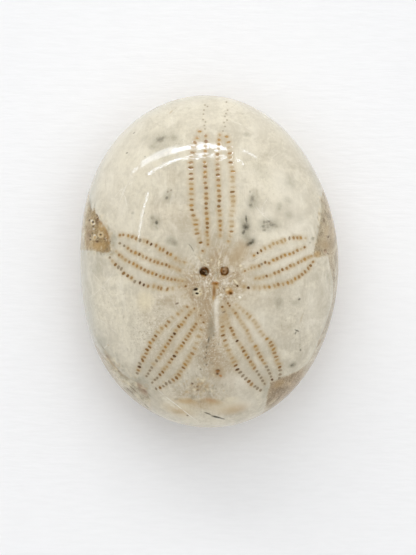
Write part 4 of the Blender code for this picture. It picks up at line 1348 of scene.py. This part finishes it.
def stone_material():
    material = bpy.data.materials.new("polished_stone")
    material.use_nodes = True
    net = Net(material.node_tree)
    where = net.node("ShaderNodeTexCoord").outputs["Object"]
    mm = net.scaled(where, 1000.0)

    # domain warp for natural clouds
    warp = net.node("ShaderNodeVectorMath", operation="MULTIPLY_ADD")
    net.put(warp.inputs[0], net.noise(mm, 0.09, 2.0, 0.5, colour=True))
    warp.inputs[1].default_value = (9, 9, 9)
    net.put(warp.inputs[2], mm)
    bent = warp.outputs[0]

    wide = net.noise(bent, 0.075, 4.0, 0.55)
    middle_ = net.noise(bent, 0.33, 5.0, 0.62)
    small = net.noise(mm, 1.7, 4.0, 0.6)
    grain = net.noise(mm, 7.0, 2.0, 0.6)
    warm, cool, pale = net.parts(net.read("clouds").outputs["Vector"])
    busy_ = net.read("busy").outputs["Fac"]
    down_ = net.read("down").outputs["Fac"]

    cream, grey, light = (0.656, 0.605, 0.479), (0.490, 0.444, 0.345), (0.722, 0.676, 0.566)
    level = net.add(net.mul(wide, 0.42), net.mul(middle_, 0.38), net.mul(small, 0.20))
    colour = net.mix(net.fit(level, 0.41, 0.59), grey, cream)
    veil = net.noise(net.scaled(mm, 1.0, offset=(31, 7, 12)), 0.21, 6.0, 0.66, 0.6)
    colour = net.mix(net.math("ADD", net.mul(net.fit(veil, 0.50, 0.72), 0.55), net.mul(pale, 1.0), clamp=True), colour, light)
    blotch = net.add(net.mul(middle_, 0.5), net.mul(small, 0.5))
    colour = net.mix(net.math("MULTIPLY", warm, net.fit(blotch, 0.36, 0.60, 1.25, 0.65), clamp=True), colour, (0.40, 0.305, 0.19))
    colour = net.mix(net.math("MULTIPLY", cool, net.fit(blotch, 0.36, 0.60, 1.35, 0.65), clamp=True), colour, (0.375, 0.35, 0.27))
    petal_ = net.read("petal").outputs["Fac"]
    in_petal = net.fit(petal_, -0.5, 3.5)
    colour = net.mix(net.mul(in_petal, 0.16), colour, (0.40, 0.345, 0.245))

    # painted edge light: towards the rim the stone is painted greyer, standing in for the light seen through and
    # reflected off the thin calcite edge
    covered, broken_, painted_rim_grey = net.parts(net.read("ink_cover_and_painted_rim").outputs["Vector"])
    painted_rim_share = net.mul(painted_rim_grey, net.fit(net.add(net.mul(middle_, 0.6), net.mul(small, 0.4)), 0.36, 0.64, 0.45, 1.30))
    painted_rim_share = net.mul(painted_rim_share, net.math("SUBTRACT", 1.0, net.math("MULTIPLY", pale, 1.3, clamp=True)))
    colour = net.mix(net.math("MULTIPLY", painted_rim_share, 0.62, clamp=True), colour, (0.480, 0.482, 0.440))

    # fibrous streaks along cleavage directions
    for turn_, scale, share, seed in (
        ((0, 0, 38), (0.9, 0.09, 0.5), 0.42, 3.0),
        ((0, 0, -52), (1.1, 0.12, 0.5), 0.34, 17.0),
        ((0, 0, 20), (3.4, 0.34, 1.6), 0.36, 41.0),
        ((0, 0, -66), (3.0, 0.30, 1.6), 0.32, 53.0),
    ):
        streaks = net.noise(net.scaled(bent, scale, offset=(seed, 2 * seed, 0), turn=turn_), 1.0, 4.0, 0.6)
        where_ = net.fit(net.noise(net.scaled(mm, 1.0, offset=(seed, 0, seed)), 0.14, 2.0, 0.5), 0.40, 0.62)
        share = net.add(share * 0.68, net.mul(busy_, share * 0.5))
        colour = net.mix(net.mul(net.fit(streaks, 0.55, 0.70), where_, share), colour, (0.765, 0.725, 0.615))
        colour = net.mix(net.mul(net.fit(streaks, 0.44, 0.30), where_, share, 0.85), colour, (0.40, 0.345, 0.245))

    # freckles, grains and whitish flecks
    freckle = net.noise(mm, 2.6, 3.0, 0.65)
    patch = net.fit(net.noise(bent, 0.16, 3.0, 0.55), 0.46, 0.62)
    lively = net.math("ADD", net.mul(patch, 0.55), net.mul(busy_, 0.75), clamp=True)
    colour = net.mix(net.mul(net.fit(freckle, 0.56, 0.74), lively, 0.62), colour, (0.29, 0.235, 0.15))
    colour = net.mix(net.mul(net.fit(freckle, 0.44, 0.28), lively, 0.60), colour, (0.775, 0.735, 0.62))
    colour = net.mix(net.mul(net.fit(grain, 0.58, 0.78), net.add(0.22, net.mul(busy_, 0.25))), colour, (0.80, 0.77, 0.69))
    colour = net.mix(net.mul(net.fit(grain, 0.40, 0.22), net.add(0.26, net.mul(busy_, 0.25))), colour, (0.34, 0.295, 0.215))

    # crisp crystals and brown grains, thick round the middle
    chip = net.noise(mm, 3.4, 1.0, 0.5)
    chip_too = net.noise(net.scaled(mm, 1.0, offset=(14, 3, 8)), 5.6, 1.0, 0.5)
    thick = net.fit(busy_, 0.35, 1.0, 0.0, 1.0, soft=False)
    colour = net.mix(net.mul(net.fit(chip, 0.635, 0.675), thick, 0.60), colour, (0.78, 0.745, 0.645))
    colour = net.mix(net.mul(net.fit(chip, 0.365, 0.325), thick, 0.66), colour, (0.285, 0.20, 0.115))
    colour = net.mix(net.mul(net.fit(chip_too, 0.66, 0.70), thick, 0.60), colour, (0.80, 0.765, 0.67))
    colour = net.mix(net.mul(net.fit(chip_too, 0.35, 0.31), thick, 0.74), colour, (0.24, 0.175, 0.11))

    # traces of the small spine bosses, on the sides and underside only
    boss = net.cells(net.scaled(mm, 1.0, offset=(3, 9, 2)), 0.62, random_=0.8)
    ring = net.math("SUBTRACT", 1.0, net.fit(net.math("ABSOLUTE", net.math("SUBTRACT", boss.outputs["Distance"], 0.27)), 0.0, 0.10))
    low_down = net.mul(net.fit(down_, 1.0, 4.0), net.fit(net.noise(mm, 0.5, 2.0, 0.5), 0.40, 0.60))
    colour = net.mix(net.mul(ring, low_down, 0.40), colour, (0.76, 0.73, 0.65))
    colour = net.mix(net.mul(net.fit(boss.outputs["Distance"], 0.13, 0.05), low_down, 0.45), colour, (0.36, 0.30, 0.21))

    # brown filling where the shell is ground through
    belt_ = net.read("belt").outputs["Fac"]
    belt_edge = net.add(
        belt_,
        net.mul(net.math("SUBTRACT", net.noise(mm, 1.1, 4.0, 0.6), 0.5), 0.6),
        net.mul(net.math("SUBTRACT", net.noise(mm, 4.5, 2.0, 0.6), 0.5), 0.60),
        net.mul(net.math("SUBTRACT", net.noise(mm, 9.0, 1.0, 0.5), 0.5), 0.45),
        net.mul(net.math("SUBTRACT", net.noise(mm, 0.38, 4.0, 0.65), 0.5), net.fit(down_, -2.6, 1.6), 7.0),
    )
    inside = net.fit(belt_edge, -0.10, 0.16)
    sand = net.noise(mm, 5.0, 4.0, 0.7)
    lumps = net.noise(bent, 0.55, 4.0, 0.6)
    filled = net.read("filling").outputs["Color"]
    brown = net.mix(net.fit(lumps, 0.34, 0.66), (0.74, 0.72, 0.68), (1.28, 1.29, 1.32))
    brown = net.mix(1.0, filled, brown, "MULTIPLY")
    fine = net.noise(mm, 11.0, 2.0, 0.6)
    brown = net.mix(net.mul(net.fit(sand, 0.54, 0.72), 0.62), brown, (0.60, 0.50, 0.335))
    brown = net.mix(net.mul(net.fit(sand, 0.44, 0.27), 0.78), brown, (0.15, 0.10, 0.045))
    brown = net.mix(net.mul(net.fit(fine, 0.58, 0.74), 0.5), brown, (0.64, 0.56, 0.42))
    brown = net.mix(net.mul(net.fit(fine, 0.40, 0.26), 0.6), brown, (0.13, 0.09, 0.045))
    brown = net.mix(net.mul(net.fit(chip, 0.60, 0.65), 0.22), brown, (0.62, 0.53, 0.38))
    brown = net.mix(net.mul(net.fit(chip_too, 0.39, 0.34), 0.46), brown, (0.16, 0.10, 0.042))
    brown = net.mix(net.mul(net.fit(chip, 0.37, 0.33), 0.38), brown, (0.20, 0.12, 0.045))
    # painted reflection: a paler band on the brown filling round the rim, standing in for the bright room reflected off
    # the steep edge
    sheen_band_end = net.add(
        down_,
        net.mul(net.math("SUBTRACT", lumps, 0.5), 2.5),
        net.mul(net.math("SUBTRACT", net.noise(mm, 0.38, 4.0, 0.65), 0.5), 6.0),
    )
    painted_edge_sheen = net.mul(
        net.fit(net.add(down_, net.mul(net.math("SUBTRACT", lumps, 0.5), 3.0)), -3.6, -2.0),
        net.fit(sheen_band_end, 3.6, 1.8),
    )
    brown = net.mix(net.mul(painted_edge_sheen, 0.36), brown, (0.465, 0.425, 0.335))
    colour = net.mix(inside, colour, brown)
    rim = net.math("SUBTRACT", 1.0, net.fit(net.math("ABSOLUTE", belt_edge), 0.0, 0.30))
    colour = net.mix(net.mul(rim, 0.34), colour, (0.43, 0.34, 0.215))

    # pigments
    wobble = net.math("SUBTRACT", net.noise(mm, 3.4, 4.0, 0.65), 0.5)
    pure = net.node("ShaderNodeVectorMath", operation="DIVIDE")
    net.put(pure.inputs[0], net.read("ink").outputs["Vector"])
    lift = net.node("ShaderNodeCombineXYZ")
    for socket in lift.inputs:
        net.put(socket, net.math("MAXIMUM", covered, 0.001))
    net.put(pure.inputs[1], lift.outputs[0])
    worn = net.math("MULTIPLY_ADD", wobble, net.mul(net.fit(covered, 0.0, 0.25), broken_), covered)
    colour = net.mix(net.fit(worn, 0.05, 1.0, soft=False), colour, pure.outputs[0])

    # hair lines
    off, width, tone_ = net.parts(net.read("line").outputs["Vector"])
    thin = net.math("SUBTRACT", 1.0, net.fit(net.math("DIVIDE", net.math("ABSOLUTE", off), net.math("MAXIMUM", width, 0.01)), 0.4, 1.1))
    broken = net.fit(net.noise(mm, 1.4, 3.0, 0.6), 0.32, 0.55)
    colour = net.mix(net.math("MULTIPLY", net.mul(thin, broken), net.math("MAXIMUM", tone_, 0.0), clamp=True), colour, (0.12, 0.11, 0.09))
    colour = net.mix(net.math("MULTIPLY", net.mul(thin, broken), net.math("MAXIMUM", net.mul(tone_, -1.0), 0.0), clamp=True), colour, (0.85, 0.83, 0.78))

    # petal pores
    slit = net.read("slit_edge").outputs["Fac"]
    dark, greyness, cover = net.parts(net.read("slit_tone").outputs["Vector"])
    stain_ = net.read("stain").outputs["Fac"]
    ragged = net.math("MULTIPLY_ADD", net.math("SUBTRACT", net.noise(mm, 6.0, 3.0, 0.6), 0.5), 0.16, slit)
    inside_slit = net.fit(ragged, 0.085, -0.07)
    seep = net.fit(net.noise(mm, 1.2, 3.0, 0.6), 0.34, 0.60, 0.38, 0.74)
    colour = net.mix(net.math("MULTIPLY", stain_, seep, clamp=True), colour, (0.455, 0.34, 0.19))
    ramp = net.node("ShaderNodeValToRGB")
    stops = ((0.0, (0.455, 0.36, 0.225)), (0.22, (0.38, 0.26, 0.115)), (0.42, (0.34, 0.19, 0.045)), (0.6, (0.31, 0.182, 0.066)), (0.8, (0.21, 0.108, 0.030)), (1.0, (0.085, 0.034, 0.008)))
    elements = ramp.color_ramp.elements
    while len(elements) < len(stops):
        elements.new(0.5)
    for e, (at, shade) in zip(elements, stops):
        e.position = at
        e.color = (*shade, 1.0)
    varied = net.math("MULTIPLY_ADD", net.math("SUBTRACT", net.noise(mm, 4.0, 2.0, 0.5), 0.5), 0.35, dark, clamp=True)
    net.put(ramp.inputs[0], varied)
    fill_grey = net.mix(net.fit(varied, 0.2, 1.0), (0.36, 0.30, 0.20), (0.065, 0.05, 0.028))
    fill = net.mix(greyness, ramp.outputs[0], fill_grey)
    colour = net.mix(net.math("MULTIPLY", inside_slit, cover, clamp=True), colour, fill)

    shader = net.node("ShaderNodeBsdfPrincipled")
    net.put(shader.inputs["Base Color"], colour)
    shader.inputs["IOR"].default_value = 1.52
    shader.inputs["Specular IOR Level"].default_value = 0.33
    shader.inputs["Specular Tint"].default_value = (1.0, 0.95, 0.86, 1.0)
    gloss = net.fit(net.noise(bent, 0.4, 3.0, 0.6), 0.3, 0.7, 0.026, 0.055)
    underneath = net.fit(down_, 9.0, 11.0)
    gloss = net.add(gloss, net.mul(inside, 0.20), net.mul(inside_slit, cover, 0.22), net.mul(underneath, 0.16))
    net.put(shader.inputs["Roughness"], gloss)
    bump = net.node("ShaderNodeBump")
    bump.inputs["Strength"].default_value = 1.0
    bump.inputs["Distance"].default_value = 0.001
    relief = net.add(
        net.mul(net.noise(mm, 2.4, 3.0, 0.55), 0.0035),
        net.mul(net.noise(mm, 1.7, 0.0, 0.4), in_petal, 0.012),
        net.mul(net.noise(mm, 4.2, 0.0, 0.4), in_petal, 0.0025),
        net.mul(net.noise(mm, 5.0, 1.0, 0.5), 0.0014),
        net.mul(net.noise(net.scaled(mm, (9.0, 0.5, 1.0), turn=(0, 0, 63)), 1.0, 2.0, 0.6), underneath, 0.006),
        net.mul(inside, sand, net.fit(down_, -1.0, 1.5, 0.010, 0.03)),
        net.mul(net.noise(mm, 14.0, 2.0, 0.6), 0.0006),
    )
    net.put(bump.inputs["Height"], relief)
    net.put(shader.inputs["Normal"], bump.outputs[0])
    out = net.node("ShaderNodeOutputMaterial")
    net.put(out.inputs["Surface"], shader.outputs[0])
    return material


fossil.data.materials.append(stone_material())
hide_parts(NODE)
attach(fossil, "root")

# ---------------------------------------------------------------- floor
floor_mesh = bpy.data.meshes.new("floor")
floor_mesh.from_pydata([(-3, -3, 0), (3, -3, 0), (3, 3, 0), (-3, 3, 0)], [], [(0, 1, 2, 3)])
floor = bpy.data.objects.new("floor", floor_mesh)
floor.location.z = -0.00005
bpy.context.scene.collection.objects.link(floor)
paper = bpy.data.materials.new("paper")
paper.use_nodes = True
net = Net(paper.node_tree)
mm = net.scaled(net.node("ShaderNodeTexCoord").outputs["Object"], 1000.0)
shader = net.node("ShaderNodeBsdfPrincipled")
fibres = net.noise(net.scaled(mm, (0.25, 1.6, 1.0)), 1.0, 5.0, 0.6)
paper_and_painted_falloff = net.mix(net.fit(fibres, 0.3, 0.7), (0.880, 0.883, 0.887), (0.900, 0.903, 0.907))
# painted shade: the paper is painted darker away from the fossil, standing in for the light falling off towards the
# corners
away_ = net.node("ShaderNodeVectorMath", operation="LENGTH")
net.put(away_.inputs[0], mm)
paper_and_painted_falloff = net.mix(net.fit(away_.outputs["Value"], 20.0, 52.0), paper_and_painted_falloff, net.mix(1.0, paper_and_painted_falloff, (0.952, 0.952, 0.953), "MULTIPLY"))
net.put(shader.inputs["Base Color"], net.mix(1.0, paper_and_painted_falloff, (1.024, 1.026, 1.032), "MULTIPLY"))
shader.inputs["Roughness"].default_value = 0.9
shader.inputs["Specular IOR Level"].default_value = 0.1
bump = net.node("ShaderNodeBump")
bump.inputs["Distance"].default_value = 0.001
net.put(bump.inputs["Height"], net.mul(fibres, 0.05))
net.put(shader.inputs["Normal"], bump.outputs[0])
net.put(net.node("ShaderNodeOutputMaterial").inputs["Surface"], shader.outputs[0])
floor.data.materials.append(paper)

# ---------------------------------------------------------------- light and camera
# The room is bright all round, more so towards a large soft lamp, and dim right above.
SOFTBOX = (
    math.cos(math.radians(47)) * math.cos(math.radians(60)),
    math.cos(math.radians(47)) * math.sin(math.radians(60)),
    math.sin(math.radians(47)),
)
world = bpy.data.worlds.new("studio")
bpy.context.scene.world = world
world.use_nodes = True
net = Net(world.node_tree)
towards = net.node("ShaderNodeTexCoord").outputs["Generated"]
height_ = net.parts(towards)[2]
facing = net.node("ShaderNodeVectorMath", operation="DOT_PRODUCT")
net.put(facing.inputs[0], towards)
facing.inputs[1].default_value = SOFTBOX
overhead = net.fit(height_, 0.940, 0.990, 1.0, 0.0)
level = net.mul(net.add(0.77, net.mul(net.fit(facing.outputs["Value"], 0.5, 1.0), 0.62)), overhead)
level = net.add(level, net.mul(net.fit(height_, 0.0, 0.5, 1.0, 0.0), 0.52))
sky = net.node("ShaderNodeBackground")
sky.inputs["Color"].default_value = (1.0, 1.0, 1.0, 1.0)
net.put(sky.inputs["Strength"], level)
net.put(net.node("ShaderNodeOutputWorld").inputs["Surface"], sky.outputs[0])


def strip(name, first, second, thick, glow, shine):
    """A soft lamp: a band between two points in metres, thick across, facing the fossil.

    glow is how strongly it lights the fossil and the floor, shine how bright its reflection is.
    """
    first, second = Vector(first), Vector(second)
    along = second - first
    for part, strength in (("", glow), ("_shine", shine)):
        if not strength:
            continue
        data = bpy.data.lights.new(name + part, "AREA")
        data.shape = "RECTANGLE"
        data.size, data.size_y = along.length, thick
        data.energy = strength * math.pi * data.size * data.size_y
        if part:
            data.color = (0.80, 0.95, 1.25)
        lamp = bpy.data.objects.new(name + part, data)
        at = (first + second) / 2 * (0.985 if part else 1.0)
        x = along.normalized()
        z = (at - x * at.dot(x)).normalized()
        y = z.cross(x)
        lamp.matrix_world = Matrix(
            [[x[i], y[i], z[i], at[i]] for i in range(3)] + [[0, 0, 0, 1]]
        )
        lamp.visible_camera = False
        lamp.visible_diffuse = not part
        lamp.visible_glossy = bool(part)
        bpy.context.scene.collection.objects.link(lamp)


strip("lamp_low", (-0.35, 0.8, 0.565), (0.235, 0.8, 0.585), 0.045, 12, 27)
strip("lamp_low_end", (-0.80, 0.8, 0.455), (-0.31, 0.8, 0.550), 0.10, 9, 8.5)
strip("lamp_low_left", (-1.03, 0.8, 0.425), (-0.88, 0.8, 0.458), 0.04, 0, 8)
strip("lamp_low_far", (0.39, 0.8, 0.505), (0.565, 0.8, 0.492), 0.026, 3, 8)
strip("lamp_high", (-0.80, 0.8, 0.738), (0.24, 0.8, 0.718), 0.020, 13, 25)
strip("lamp_high_far", (0.335, 0.8, 0.685), (0.447, 0.8, 0.724), 0.022, 4, 12)
strip("lamp_side", (-0.8, 0.64, 0.915), (-0.8, 0.15, 0.80), 0.016, 0, 18)
strip("lamp_side_end", (-0.8, 0.15, 0.80), (-0.8, -0.04, 0.76), 0.022, 0, 3)

camera_data = bpy.data.cameras.new("camera")
camera_data.lens, camera_data.sensor_width = LENS, SENSOR
camera_data.sensor_fit = "AUTO"
camera_data.clip_start, camera_data.clip_end = 0.01, 10
camera = bpy.data.objects.new("camera", camera_data)
camera.location = Vector(EYE) * 0.001
bpy.context.scene.collection.objects.link(camera)
bpy.context.scene.camera = camera
bpy.context.scene.view_settings.view_transform = "Standard"
bpy.context.scene.cycles.use_denoising = True
